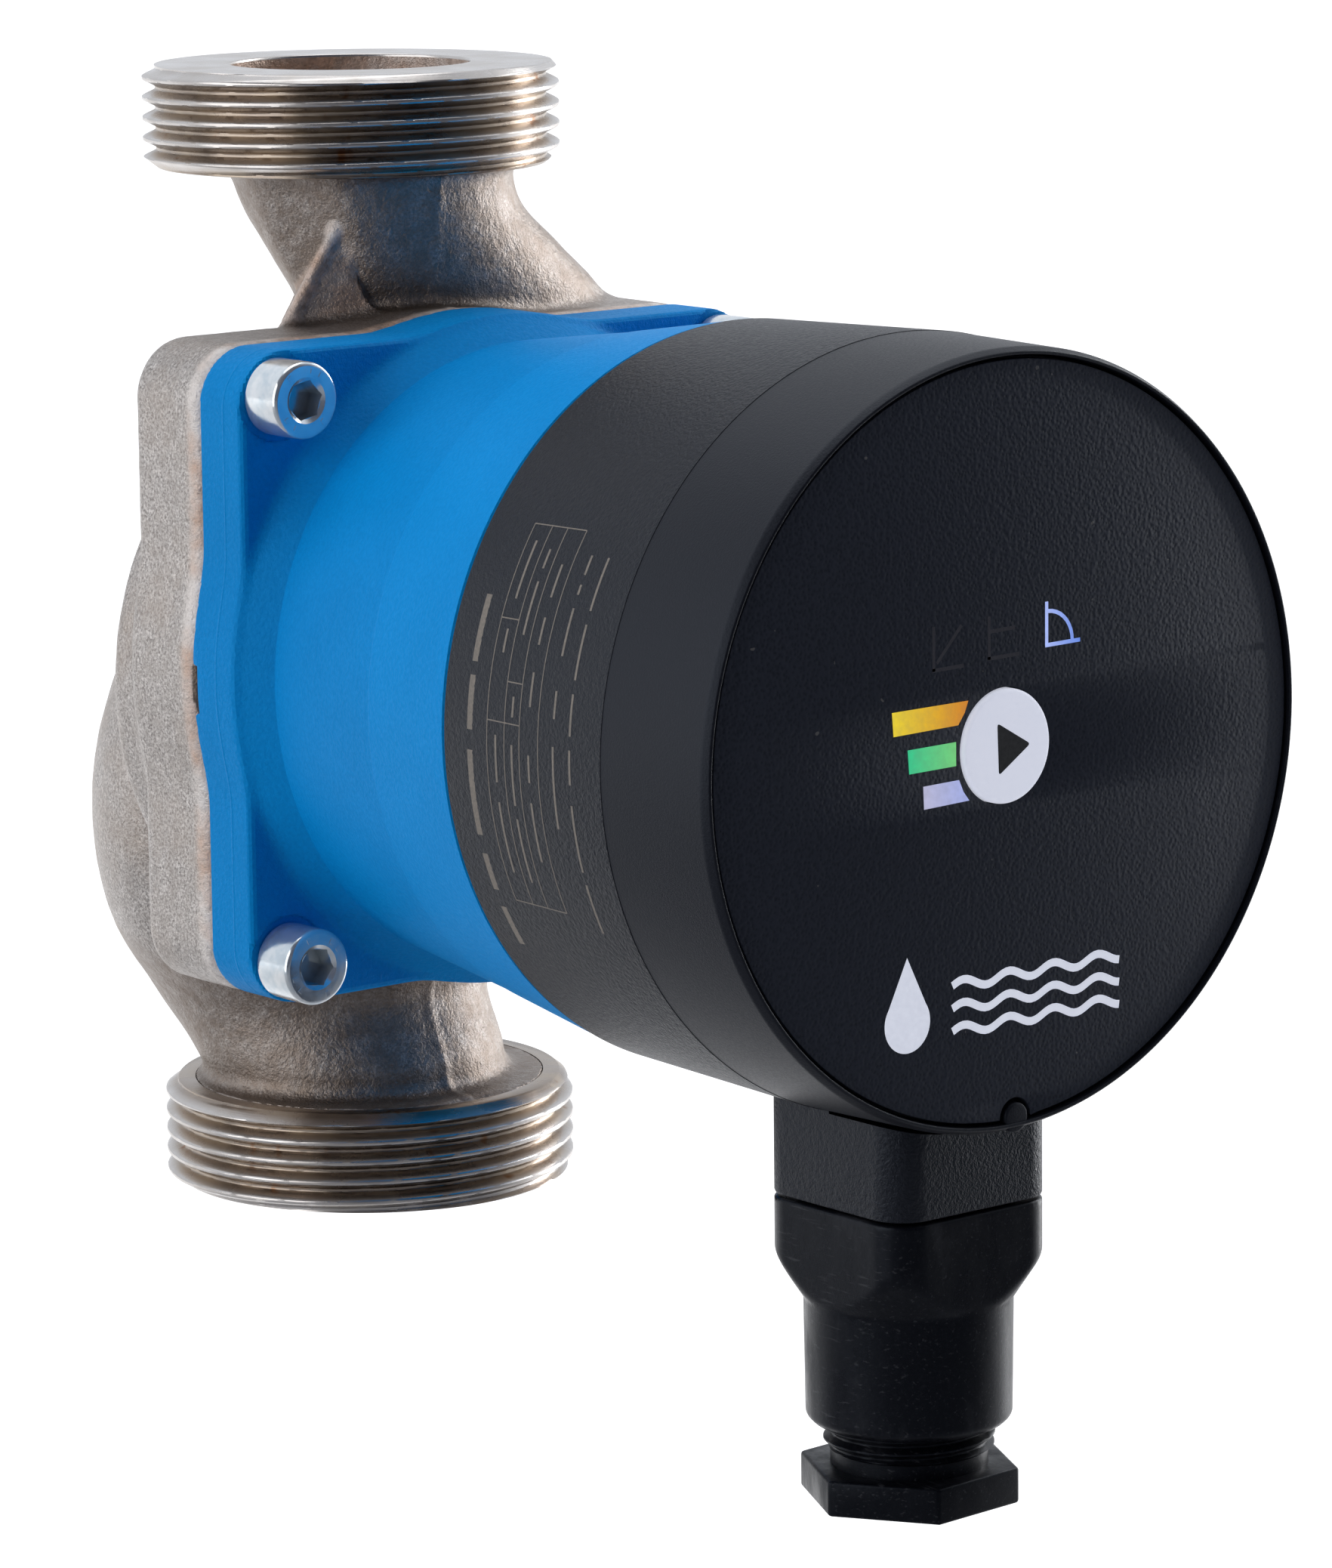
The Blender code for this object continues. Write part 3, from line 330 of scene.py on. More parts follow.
def cast_metal():
    """Shot-blasted stainless casting: mottled grey, darkened by painted shade in shut-in places, lighter and less
    metallic where it is rubbed and where painted highlights go, with a fine grain.
    """
    look = Recipe("cast_metal")
    grain = look.noise(3.0, 3.0, 0.7)
    mottle = look.noise(0.5, 4.0, 0.65)
    blotch = look.noise(0.09, 3.0, 0.6)
    tone = look.blend(look.span(grain, 0.34, 0.68), (0.20, 0.180, 0.168), (0.74, 0.70, 0.675))
    tone = look.blend(look.span(mottle, 0.42, 0.66, 0.0, 0.5), tone, (0.36, 0.325, 0.30))
    tone = look.blend(look.span(blotch, 0.46, 0.70, 0.0, 0.45), tone, (0.40, 0.335, 0.285))
    # Painted shade: shut-in places and the drain slot are darkened as if in shadow.
    tone = look.blend(look.math("MULTIPLY", look.painted("hollow"), 0.8), tone, (0.145, 0.115, 0.095))
    stained = look.math("MULTIPLY", look.painted("tarnish"), look.span(mottle, 0.30, 0.70, 0.40, 0.85))
    tone = look.blend(stained, tone, (0.215, 0.165, 0.130))
    # Rubbed edges, and the painted highlights on the web, its bead and the bores, turn lighter and less metallic.
    scrape = look.span(look.noise(0.8, 3.0, 0.7), 0.36, 0.62, 0.45, 1.0)
    bare_and_highlight_tone = look.blend(look.span(blotch, 0.40, 0.60), (0.86, 0.80, 0.76), (0.66, 0.43, 0.31))
    bare_and_highlight = look.math("MULTIPLY", look.painted("wear_and_highlight"), scrape)
    tone = look.blend(bare_and_highlight, tone, bare_and_highlight_tone)
    look.shade("Metallic", look.span(bare_and_highlight, 0.0, 1.0, 0.92, 0.10))
    look.colour(tone)
    look.roughness(look.span(grain, 0.3, 0.7, 0.34, 0.50))
    look.bump(look.noise(0.45, 3.0, 0.6), 0.22, 0.7)
    look.bump(look.noise(1.4, 3.0, 0.65), 0.16, 0.9)
    look.bump(grain, 0.10, 1.0)
    return look.material


def turned_metal():
    """The machined threads and faces, with lathe lines, darker and browner towards the thread roots and on the
    shoulder, and rust spots in the roots.
    """
    look = Recipe("turned_metal", metallic=1.0, roughness=0.3)
    root = look.painted("root")
    stain = look.noise(0.16, 3.0, 0.6, look.stretched((1, 1, 2.2)))
    rust = look.noise(0.30, 2.0, 0.5, look.stretched((1, 1, 0.7)))
    tone = look.blend(look.span(stain, 0.35, 0.7, 0.0, 0.6), (0.60, 0.575, 0.56), (0.47, 0.43, 0.39))
    dark = look.blend(look.span(stain, 0.4, 0.65), (0.30, 0.25, 0.21), (0.42, 0.35, 0.28))
    tone = look.blend(look.span(root, 0.12, 0.75), tone, dark)
    spots = look.math("MULTIPLY", look.span(rust, 0.66, 0.74), look.span(root, 0.3, 0.6))
    tone = look.blend(look.math("MULTIPLY", spots, 0.8), tone, (0.26, 0.11, 0.035))
    look.colour(tone)
    look.roughness(look.span(stain, 0.3, 0.7, 0.20, 0.34))
    lines = look.noise(2.2, 2.0, 0.5, look.stretched((0.02, 0.02, 3.0)))
    look.bump(lines, 0.03, 0.5)
    look.bump(look.painted("lathe"), 0.012, 0.6)
    look.bump(look.noise(0.8, 3.0, 0.6), 0.03, 0.5)
    return look.material


def blue_paint():
    """Satin powder coat with a fine orange peel, painted light that makes it a little lighter ahead of the crease,
    and a moulding line round the flange's edge.
    """
    look = Recipe("blue_paint", roughness=0.5, specular=0.05)
    peel = look.noise(2.2, 3.0, 0.65)
    cloud = look.noise(0.06, 3.0, 0.6)
    tone = look.blend(look.span(cloud, 0.3, 0.7), (0.001, 0.262, 0.680), (0.002, 0.292, 0.750))
    tone = look.blend(look.span(peel, 0.35, 0.65, 0.0, 0.3), tone, (0.001, 0.180, 0.520))
    # Painted light: a little lighter ahead of the crease, for the change of slope there.
    ahead = look.span(look.part("Y"), -(CREASE_DEPTH + 0.2) * MM, -(CREASE_DEPTH - 0.2) * MM, 0.20, 0.0)
    look.colour(look.blend(ahead, tone, (0.003, 0.345, 0.86)))
    look.roughness(look.span(peel, 0.3, 0.7, 0.42, 0.58))
    away = look.math("ABSOLUTE", look.math("ADD", look.part("Y"), MOULD_LINE * MM), 0.0)
    line = look.span(away, 0.0, 0.22 * MM, 1.0, 0.0)
    look.bump(line, 0.10, 0.6)
    look.bump(peel, 0.12, 0.9)
    look.bump(look.noise(0.55, 2.0, 0.5), 0.05, 0.35)
    return look.material


def zinc_plate():
    """Bright passivated zinc, faintly blue, with fine handling marks and painted shade in the key recess."""
    look = Recipe("zinc_plate", metallic=0.82)
    wash = look.noise(0.5, 3.0, 0.6)
    tone = look.blend(look.span(wash, 0.35, 0.65), (0.86, 0.89, 0.91), (0.66, 0.74, 0.80))
    # Painted shade: the key recess is darkened as if in shadow.
    tone = look.blend(look.math("MULTIPLY", look.painted("recess"), 0.5), tone, (0.035, 0.06, 0.07))
    look.colour(tone)
    look.roughness(look.span(look.noise(0.8, 2.0, 0.5), 0.3, 0.7, 0.13, 0.25))
    look.bump(look.noise(1.2, 2.0, 0.5), 0.008, 0.4)
    return look.material


def moulded_black(name, colour, roughness, grain_mm, depth_mm, shine, scuff=0.0):
    """Moulded black plastic with a spark-eroded grain, and a painted blue tint on its reflections."""
    look = Recipe(name, colour=colour, roughness=roughness, specular=shine, tint=PAINTED_BLUE_REFLECTION)
    grain = look.noise(1.0 / grain_mm, 3.0, 0.65)
    lighter = tuple(min(1.0, 1.9 * c + 0.004) for c in colour)
    tone = look.blend(look.span(grain, 0.50, 0.80, 0.0, 0.7), colour, lighter)
    if scuff:
        rubbed = look.noise(0.22, 4.0, 0.7, look.stretched((1.0, 1.0, 0.45), (0.3, 0.5, 0.2)))
        tone = look.blend(look.span(rubbed, 0.55, 0.80, 0.0, scuff), tone, (0.06, 0.062, 0.07))
        for turn in ((0.5, 0.9, 0.2), (1.1, -0.6, 0.7)):
            scratch = look.noise(2.6, 2.0, 0.5, look.stretched((1.0, 0.10, 1.0), turn))
            tone = look.blend(look.span(scratch, 0.64, 0.74, 0.0, 0.45), tone, (0.055, 0.056, 0.062))
        look.roughness(look.span(rubbed, 0.4, 0.7, roughness - 0.08, roughness + 0.16))
    else:
        look.roughness(look.span(grain, 0.3, 0.7, roughness - 0.05, roughness + 0.08))
    look.colour(tone)
    look.bump(grain, depth_mm, 0.8)
    look.bump(look.noise(0.12, 2.0), 0.03, 0.25)
    return look.material


def display_foil():
    """The dark foil over the display, with a fine leather grain, a few dust specks and a painted blue tint on its
    reflections.
    """
    look = Recipe("display_foil", specular=0.3, tint=PAINTED_BLUE_REFLECTION)
    grain = look.cells(2.4)
    dust = look.span(look.noise(0.9, 1.0), 0.80, 0.83)
    tone = look.blend(look.span(grain, 0.1, 0.5), (0.0095, 0.0115, 0.0195), (0.0230, 0.0265, 0.0400))
    tone = look.blend(look.math("MULTIPLY", dust, 0.5), tone, (0.25, 0.24, 0.22))
    look.colour(tone)
    look.roughness(look.span(grain, 0.1, 0.5, 0.54, 0.66))
    look.bump(grain, 0.10, 0.8)
    look.bump(look.noise(1.2, 2.0), 0.04, 0.6)
    return look.material


def lit_window(name, left, right, start, end):
    """A glowing window whose colour runs from one x to another."""
    look = Recipe(name, colour=(0.02, 0.02, 0.02), roughness=0.4, glow=1.0)
    tone = look.blend(look.span(look.part("X"), start * MM, end * MM), left, right)
    fine = look.blend(look.span(look.noise(1.4, 2.0), 0.3, 0.7, 0.0, 0.18), tone, (0.1, 0.1, 0.1))
    look.shade("Emission Color", fine)
    return look.material


def speckled(name, colour, other, roughness, metallic=0.0, per_mm=1.5, depth_mm=0.02, **constants):
    """A plain surface with a fine two-tone grain, for the pieces inside."""
    look = Recipe(name, roughness=roughness, metallic=metallic, **constants)
    grain = look.noise(per_mm, 3.0, 0.6)
    tone = look.blend(look.span(grain, 0.35, 0.65), colour, other)
    look.colour(tone)
    # A glow makes the surface give off its own tone, as painted light on the print and the button.
    if "glow" in constants:
        look.shade("Emission Color", tone)
    look.roughness(look.span(grain, 0.3, 0.7, roughness - 0.06, roughness + 0.08))
    look.bump(grain, depth_mm, 0.6)
    return look.material


def laminated(name, colour, other, roughness):
    """A stack of thin steel sheets, seen edge on along the motor."""
    look = Recipe(name, roughness=roughness, metallic=0.9)
    sheets = look.stripes("Y", 0.5)
    look.colour(look.blend(look.span(sheets, -0.2, 0.9), colour, other))
    look.bump(sheets, 0.03, 0.7)
    return look.material


def wound_copper():
    """Enamelled wire, laid turn by turn along the motor."""
    look = Recipe("wound_copper", roughness=0.3, metallic=1.0, coat=0.4)
    turns = look.stripes("X", 0.55)
    look.colour(look.blend(look.span(turns, -1, 1), (0.30, 0.085, 0.025), (0.74, 0.30, 0.11)))
    look.bump(turns, 0.12, 0.8)
    return look.material


# ---------------------------------------------------------------- distance fields
def smooth_min(first, second, blend):
    """The union of two distance fields, with a fillet where they meet."""
    share = np.clip(0.5 + 0.5 * (second - first) / blend, 0, 1)
    return second + (first - second) * share - blend * share * (1 - share)


def smooth_max(first, second, blend):
    """The overlap of two distance fields, with a rounded edge."""
    return -smooth_min(-first, -second, blend)


def corner(first, second):
    """The distance to a right-angled corner of two fields."""
    outside = np.hypot(np.maximum(first, 0), np.maximum(second, 0))
    return np.minimum(np.maximum(first, second), 0) + outside


def square(x, z, half, round_by):
    """The distance to a flat square with round corners."""
    return corner(np.abs(x) - half + round_by, np.abs(z) - half + round_by) - round_by


def slab(outline, along, low, high, edge):
    """A flat outline's field, made a plate between two heights with rounded edges."""
    across = np.abs(along - (low + high) / 2) - (high - low) / 2
    return corner(outline + edge, across + edge) - edge


def flow(places, values, at):
    """A smooth line through values at rising places."""
    places, values = np.array(places), np.array(values)
    slopes = np.gradient(values, places)
    k = np.clip(np.searchsorted(places, at) - 1, 0, len(places) - 2)
    gap = places[k + 1] - places[k]
    t = np.clip((at - places[k]) / gap, 0, 1)
    rest = (1 - t) ** 2 * (1 + 2 * t) * values[k] + t * t * (3 - 2 * t) * values[k + 1]
    return rest + gap * t * (1 - t) * ((1 - t) * slopes[k] - t * slopes[k + 1])


def neck_field(x, y, z, sections):
    """Elliptical sections, each (height, x, y, half x, half y), joined smoothly."""
    heights, *columns = zip(*sections)
    mid_x, mid_y, half_x, half_y = (flow(heights, column, z) for column in columns)
    across, along = (x - mid_x) / half_x, (y - mid_y) / half_y
    size = np.sqrt(across ** 2 + along ** 2) + 1e-6
    steep = np.sqrt((across / half_x) ** 2 + (along / half_y) ** 2) / size + 1e-6
    side = (size - 1) / steep
    return smooth_max(side, np.maximum(heights[0] - z, z - heights[-1]), 1.0)


def settled(points, field, rounds=2):
    """Moves points onto the zero level of a field."""
    reach = 0.05
    steps = reach * np.eye(3)
    for _ in range(rounds):
        rises = [field(*(points + step).T) - field(*(points - step).T) for step in steps]
        slope = np.stack(rises, 1) / (2 * reach)
        size = np.maximum((slope ** 2).sum(1), 0.05)
        move = (field(*points.T) / size)[:, None] * slope
        points = points - np.clip(move, -0.3, 0.3)
    return points


def skin_of(name, field, low, high, step):
    """Meshes the zero level of a distance field, with one point in each cell that it
    passes through and one face round each grid edge that it crosses."""
    axes = [np.arange(low[k], high[k] + step, step) for k in range(3)]
    values = field(axes[0][:, None, None], axes[1][None, :, None], axes[2][None, None, :])
    shape = values.shape
    stride = np.array([shape[1] * shape[2], shape[2], 1])
    faces, spots = [], []
    for axis in range(3):
        near, far = [slice(None)] * 3, [slice(None)] * 3
        near[axis], far[axis] = slice(0, -1), slice(1, None)
        first, second = values[tuple(near)], values[tuple(far)]
        edge = np.argwhere((first < 0) != (second < 0))
        a, b = first[tuple(edge.T)], second[tuple(edge.T)]
        spot = edge.astype(float)
        spot[:, axis] += a / (a - b)
        u, v = [k for k in range(3) if k != axis]
        ring = []
        for back_u, back_v in ((0, 0), (1, 0), (1, 1), (0, 1)):
            cell = edge.copy()
            cell[:, u] -= back_u
            cell[:, v] -= back_v
            ring.append(cell @ stride)
        ring = np.stack(ring, 1)
        flip = (a < 0) == (axis == 1)
        ring[flip] = ring[flip][:, ::-1]
        faces.append(ring)
        spots.append(np.repeat(spot, 4, axis=0))
    faces, spots = np.concatenate(faces), np.concatenate(spots)
    cells, corner_of = np.unique(faces.ravel(), return_inverse=True)
    count = np.bincount(corner_of)
    points = np.stack([np.bincount(corner_of, spots[:, k]) / count for k in range(3)], 1)
    points = settled(np.array(low) + points * step, field)
    return link(new_mesh(name, points, corner_of.reshape(-1, 4)), name)


# ---------------------------------------------------------------- making pieces
def new_mesh(name, points, faces):
    """A mesh from rows of points and of equally long faces."""
    mesh = bpy.data.meshes.new(name)
    mesh.vertices.add(len(points))
    mesh.vertices.foreach_set("co", np.asarray(points, np.float32).ravel())
    mesh.loops.add(faces.size)
    mesh.loops.foreach_set("vertex_index", faces.astype(np.int32).ravel())
    mesh.polygons.add(len(faces))
    mesh.polygons.foreach_set("loop_start", np.arange(0, faces.size, faces.shape[1], dtype=np.int32))
    mesh.update(calc_edges=True)
    mesh.validate()
    return mesh


def link(data, name):
    thing = bpy.data.objects.new(name, data)
    bpy.context.scene.collection.objects.link(thing)
    return thing


def baked(thing):
    """Replaces a piece's mesh or curve by what its modifiers make of it."""
    bpy.context.view_layer.update()
    ready = thing.evaluated_get(bpy.context.evaluated_depsgraph_get())
    mesh = bpy.data.meshes.new_from_object(ready)
    if thing.type == "MESH":
        thing.modifiers.clear()
        thing.data = mesh
        return thing
    made = link(mesh, thing.name)
    made.matrix_world = thing.matrix_world.copy()
    bpy.data.objects.remove(thing)
    return made


def cleaned(thing, reach, ends=()):
    """Closes a mesh's ends, joins its doubled points and turns its faces outwards."""
    shape = bmesh.new()
    shape.from_mesh(thing.data)
    shape.verts.ensure_lookup_table()
    for end in ends:
        shape.faces.new([shape.verts[i] for i in end])
    bmesh.ops.remove_doubles(shape, verts=shape.verts, dist=reach)
    bmesh.ops.recalc_face_normals(shape, faces=shape.faces)
    shape.to_mesh(thing.data)
    shape.free()
    return thing


def grid_mesh(name, rows, closed=False):
    """Skins rows of points that each go once round, with flat ends or joined end to end."""
    rows = np.asarray(rows, float)
    count, around = rows.shape[:2]
    k = np.arange(count * around).reshape(count, around)
    low = k if closed else k[:-1]
    high = np.roll(k, -1, 0) if closed else k[1:]
    faces = np.stack([low, np.roll(low, -1, 1), np.roll(high, -1, 1), high], -1).reshape(-1, 4)
    thing = link(new_mesh(name, rows.reshape(-1, 3), faces), name)
    return cleaned(thing, 0.5e-3, () if closed else (k[0][::-1], k[-1]))


def turned(name, outline, where=HERE, steps=192):
    """Turns (radius, height) points about the frame's Z. An outline that starts and
    ends on the axis is solid, and any other one is closed into a ring."""
    solid = outline[0][0] == 0 and outline[-1][0] == 0
    angles = [2 * math.pi * k / steps for k in range(steps)]
    points = outline[1:-1] if solid else outline
    rows = [[(r * math.cos(a), r * math.sin(a), h) for a in angles] for r, h in points]
    thing = grid_mesh(name, rows, closed=not solid)
    thing.data.transform(where)
    return thing


def rod(name, radius, low, high, where=HERE, steps=96):
    """A plain cylinder between two heights."""
    return turned(name, [(0, low), (radius, low), (radius, high), (0, high)], where, steps)


def circles(radius, angle, height):
    """Rows of points round the frame's Z, from arrays that spread over each other."""
    radius, angle, height = np.broadcast_arrays(radius, angle, height)
    return np.stack([radius * np.cos(angle), radius * np.sin(angle), height], -1)


def plate(name, outlines, low, high, where=HERE, edge=0.0):
    """Extrudes flat outlines, the outer one first, with softly rounded edges."""
    curve = bpy.data.curves.new(name, "CURVE")
    curve.dimensions = "2D"
    curve.fill_mode = "BOTH"
    curve.extrude = (high - low) / 2 - edge
    curve.bevel_depth = edge
    curve.bevel_resolution = 1
    curve.offset = -edge
    for outline in outlines:
        spline = curve.splines.new("POLY")
        spline.points.add(len(outline) - 1)
        for point, (x, y) in zip(spline.points, outline):
            point.co = (x, y, 0, 1)
        spline.use_cyclic_u = True
    thing = cleaned(baked(link(curve, name)), 1e-3)
    thing.data.transform(where @ Matrix.Translation((0, 0, (low + high) / 2)))
    return thing


def pipe(name, points, radii, around=64, along=12):
    """A round bar along a smooth line through the points, with its own radius at each."""
    places = np.arange(len(points), dtype=float)
    at = np.linspace(0, len(points) - 1, along * (len(points) - 1) + 1)
    line = np.stack([flow(places, [point[k] for point in points], at) for k in range(3)], 1)
    radius = flow(places, radii, at)
    ahead = np.gradient(line, axis=0)
    ahead /= np.linalg.norm(ahead, axis=1)[:, None]
    side = np.cross(ahead, (1.0, 0.0, 0.0))
    side /= np.linalg.norm(side, axis=1)[:, None]
    other = np.cross(ahead, side)
    angles = np.linspace(0, 2 * math.pi, around, endpoint=False)
    rows = [p + r * (np.cos(angles)[:, None] * s + np.sin(angles)[:, None] * o)
            for p, r, s, o in zip(line, radius, side, other)]
    return grid_mesh(name, rows)


def block(name, size, centre):
    mesh = bpy.data.meshes.new(name)
    shape = bmesh.new()
    bmesh.ops.create_cube(shape, size=1.0, matrix=Matrix.Translation(centre) @ Matrix.Diagonal((*size, 1)))
    shape.to_mesh(mesh)
    shape.free()
    return link(mesh, name)


def combine(thing, operation, *others):
    """Cuts other shapes from a piece, or joins them on, and removes them."""
    for other in others:
        boolean = thing.modifiers.new(other.name, "BOOLEAN")
        boolean.operation = operation
        boolean.solver = "MANIFOLD"
        boolean.object = other
        before = len(thing.data.vertices)
        baked(thing)
        if len(thing.data.vertices) == before:
            print("boolean changed nothing:", thing.name, operation, other.name)
        bpy.data.objects.remove(other)
    return thing


def paint(thing, name, values):
    """Stores a value at each of a mesh's points, for its material."""
    layer = thing.data.attributes.new(name, "FLOAT", "POINT")
    layer.data.foreach_set("value", np.asarray(values, np.float32))


def places_of(thing, what="co"):
    """The x, y and z of a mesh's points, or of their normals."""
    values = np.empty(len(thing.data.vertices) * 3, np.float32)
    thing.data.vertices.foreach_get(what, values)
    return values.reshape(-1, 3).T.astype(float)


def fade(distance, whole, none):
    """1 up to one distance, falling to 0 at another."""
    return np.clip((none - distance) / (none - whole), 0, 1)


def finished(thing, name, body, finish, slot, *nodes, angle=40):
    """Scales a piece to metres, names it, and gives it its material and its place in the frame."""
    thing.data.transform(Matrix.Scale(MM, 4))
    thing.name = name
    thing.data.name = name
    thing.data.materials.clear()
    thing.data.materials.append(finish)
    thing.data.shade_smooth()
    thing.data.set_sharp_from_angle(angle=math.radians(angle))
    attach(thing, body)
    if nodes:
        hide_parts(*nodes)
    return thing


def arc(x, y, radius, start, end, count):
    """Points along an arc, with the angles in degrees."""
    angles = [math.radians(start + (end - start) * k / count) for k in range(count + 1)]
    return [(x + radius * math.cos(a), y + radius * math.sin(a)) for a in angles]


def circle(x, y, radius, count=96):
    return arc(x, y, radius, 0, 360 - 360 / count, count - 1)


def bolt_places():
    return [(x * BOLT_OFFSET, z * BOLT_OFFSET) for x, z in ((-1, 1), (1, 1), (1, -1), (-1, -1))]


# ---------------------------------------------------------------- the casting
SUCTION_NECK = (
    (10, 0, 1.8, 17.5, 16.5), (14, -0.3, 3.2, 17.9, 18), (21.5, -1, 8, 19.5, 20), (30, -1.5, 8.2, 24.8, 20.8),
    (38, -1.1, 8, 27.7, 21.6), (46, -1, 7.6, 28.4, 22), (56, -1, 6.6, 27, 21.2), (67, -0.5, 5, 23, 18.8),
    (76, 0, 3.4, 16.5, 14), (81, 0, 2, 9, 8),
)
DISCHARGE_NECK = (
    (78, 12, -5, 19, 10), (92, 13, -4.2, 21, 11.5), (103, 10.6, -4, 19.7, 12.5), (108, 6.9, -3, 18.2, 13.5),
    (113, 3.4, -1.6, 16.6, 14.8), (120, 1.4, -0.8, 16.6, 16),
)
VOLUTE_RADIUS = 36.4
VOLUTE_DROP = 3.4
EDGE_ROUND = 2.4                 # the rounding of the flange's front edge
WEB_TOP = Vector((-9.3, -9.3, 111.9))
WEB_FOOT = Vector((-14.8, -7.2, 101.4))
WEB_SIDE = Vector((-6.3, -12.6, 102.0))
WEB_LEFT = Vector((0.5, 0.87, 0))
WEB_REACH = 6.0                  # how far the web runs on below its foot
BEAD_RADIUS = 0.75


def flange_outline_field(x, up):
    """The square motor flange, whose sides swell where the round body passes them."""
    return smooth_min(square(x, up, FLANGE_HALF, FLANGE_CORNER), np.hypot(x, up) - FLANGE_BULGE, 1.2)


def beyond(x, y, z, point, normal):
    """How far places lie beyond a plane."""
    normal = normal.normalized()
    return (x - point.x) * normal.x + (y - point.y) * normal.y + (z - point.z) * normal.z


def from_ridge(x, y, z):
    """The distance to the web's ridge line."""
    ridge = WEB_TOP - WEB_FOOT
    share = np.clip(beyond(x, y, z, WEB_FOOT, ridge) / ridge.length, -0.3, 1.0)
    nearest = [WEB_FOOT[k] + share * ridge[k] for k in range(3)]
    return np.sqrt((x - nearest[0]) ** 2 + (y - nearest[1]) ** 2 + (z - nearest[2]) ** 2)


def web_field(x, y, z):
    """The wedge that stiffens the upper neck, with a raised bead along its ridge."""
    ridge = WEB_TOP - WEB_FOOT
    facet = beyond(x, y, z, WEB_FOOT, (WEB_SIDE - WEB_FOOT).cross(ridge))
    left = beyond(x, y, z, WEB_FOOT, ridge.cross(WEB_LEFT))
    right_edge = WEB_TOP - WEB_SIDE
    right = beyond(x, y, z, WEB_SIDE, Vector((right_edge.z, 0, -right_edge.x)))
    ends = np.maximum(np.maximum(y + 2, right), WEB_FOOT.z - WEB_REACH - z)
    wedge = np.maximum(corner(facet, left), ends)
    return smooth_min(wedge, from_ridge(x, y, z) - BEAD_RADIUS, 0.25)


def casting_field(x, y, z):
    """The casting's outside: flange, volute, two necks with the web, and a disc behind each thread."""
    depth, up = -y, z - MOTOR_HEIGHT
    from_pipe = np.hypot(x, y)
    outline = flange_outline_field(x, up)
    flange = slab(outline, depth, FLANGE_BACK, SPLIT + 4, 1.8)
    volute = slab(np.hypot(x, up + VOLUTE_DROP) - VOLUTE_RADIUS, depth, 1, 12, 2.2)
    body = smooth_min(flange, volute, 1.5)

    upper = neck_field(x, y, z, DISCHARGE_NECK)
    left_wall = -6.3 - 0.32 * (z - 102) - 0.4 * (y + 9.6) - x
    upper = smooth_max(upper, 0.9 * left_wall, 0.5)
    upper = smooth_min(upper, web_field(x, y, z), 0.7)
    body = smooth_min(body, upper, 1.8)
    body = smooth_min(body, neck_field(x, y, z, SUCTION_NECK), 4.0)

    for face, way in ((0.0, 1.0), (PORT_SPAN, -1.0)):
        inward = way * (z - face)
        disc = slab(from_pipe - RING_CORE, inward, 0.3, PORT_LENGTH + 0.03, 0.1)
        body = smooth_min(body, disc, 2.2)
        body = np.maximum(body, -corner(inward - PORT_LENGTH - 0.02, RING_CORE - from_pipe))
    mould_line = np.exp(-(x / 0.45) ** 2) * (depth > 5) * (np.abs(up) > FLANGE_HALF)
    body = body - 0.16 * mould_line
    front = corner(body + EDGE_ROUND, depth - SPLIT - 0.5 + EDGE_ROUND) - EDGE_ROUND
    return np.maximum(front, depth - SPLIT)


def roughened(thing, size, amount):
    """Gives a casting its slow, uneven surface."""
    points = places_of(thing).T
    lift = np.array([noise.fractal(Vector(point) / size, 0.8, 2.0, 3) for point in points])
    moved = points + places_of(thing, "normal").T * (amount * lift)[:, None]
    thing.data.vertices.foreach_set("co", moved.astype(np.float32).ravel())
    thing.data.update()


def shade_of_hollows(thing, reach):
    """How shut in each point of the casting is, from 0 in the open to 1 in a hollow, for the painted shade there.
    """
    from_field = casting_field(*(places_of(thing) + reach * places_of(thing, "normal")))
    return np.clip(1.0 - from_field / reach - 0.12, 0, 0.6) / 0.6


def bolt_holes(low, high):
    """A cutter for each bolt's hole, between two depths."""
    return [rod("hole", HOLE_RADIUS, low, high, MOTOR @ Matrix.Translation((x, z, 0)), 32)
            for x, z in bolt_places()]


def paint_casting(casting):
    """Marks where the casting's edges are rubbed bright, where painted highlights go on the web's bead, its facet
    and the bores, where painted shade goes in shut-in places and the drain slot, and where it is tarnished.
    """
    x, y, z = places_of(casting)
    up = np.abs(z - MOTOR_HEIGHT)
    edge = fade(SPLIT + y, 1.43, 2.53) * fade(np.abs(flange_outline_field(x, z - MOTOR_HEIGHT)), 1.56, 2.86)
    # Painted highlight along the web's raised bead.
    bead = fade(from_ridge(x, y, z), 0.84, 1.44)
    # Painted light over the web's facet.
    web = 0.45 * fade(np.abs(web_field(x, y, z)), 0, 0.675)
    # Painted light inside the bores near the port faces.
    bore = 0.85 * (np.hypot(x, y) < PORT_BORE + 0.4) * (up > 52.5)
    # The drain slot gets no rubbing and the darkest painted shadow.
    drain = (np.abs(z - DRAIN_HEIGHT) < 2.9) & (x < -DRAIN_END) & (y < 0.6 - SPLIT)
    paint(casting, "wear_and_highlight", np.where(drain, 0, np.max([edge, bead, web, bore], axis=0)))
    # Painted shade in shut-in places, strongest in the drain slot.
    paint(casting, "hollow", np.where(drain, 1.2, shade_of_hollows(casting, 4.0)))
    paint(casting, "tarnish", 1 - fade(up, FLANGE_HALF - 2.5, FLANGE_HALF + 2.5))


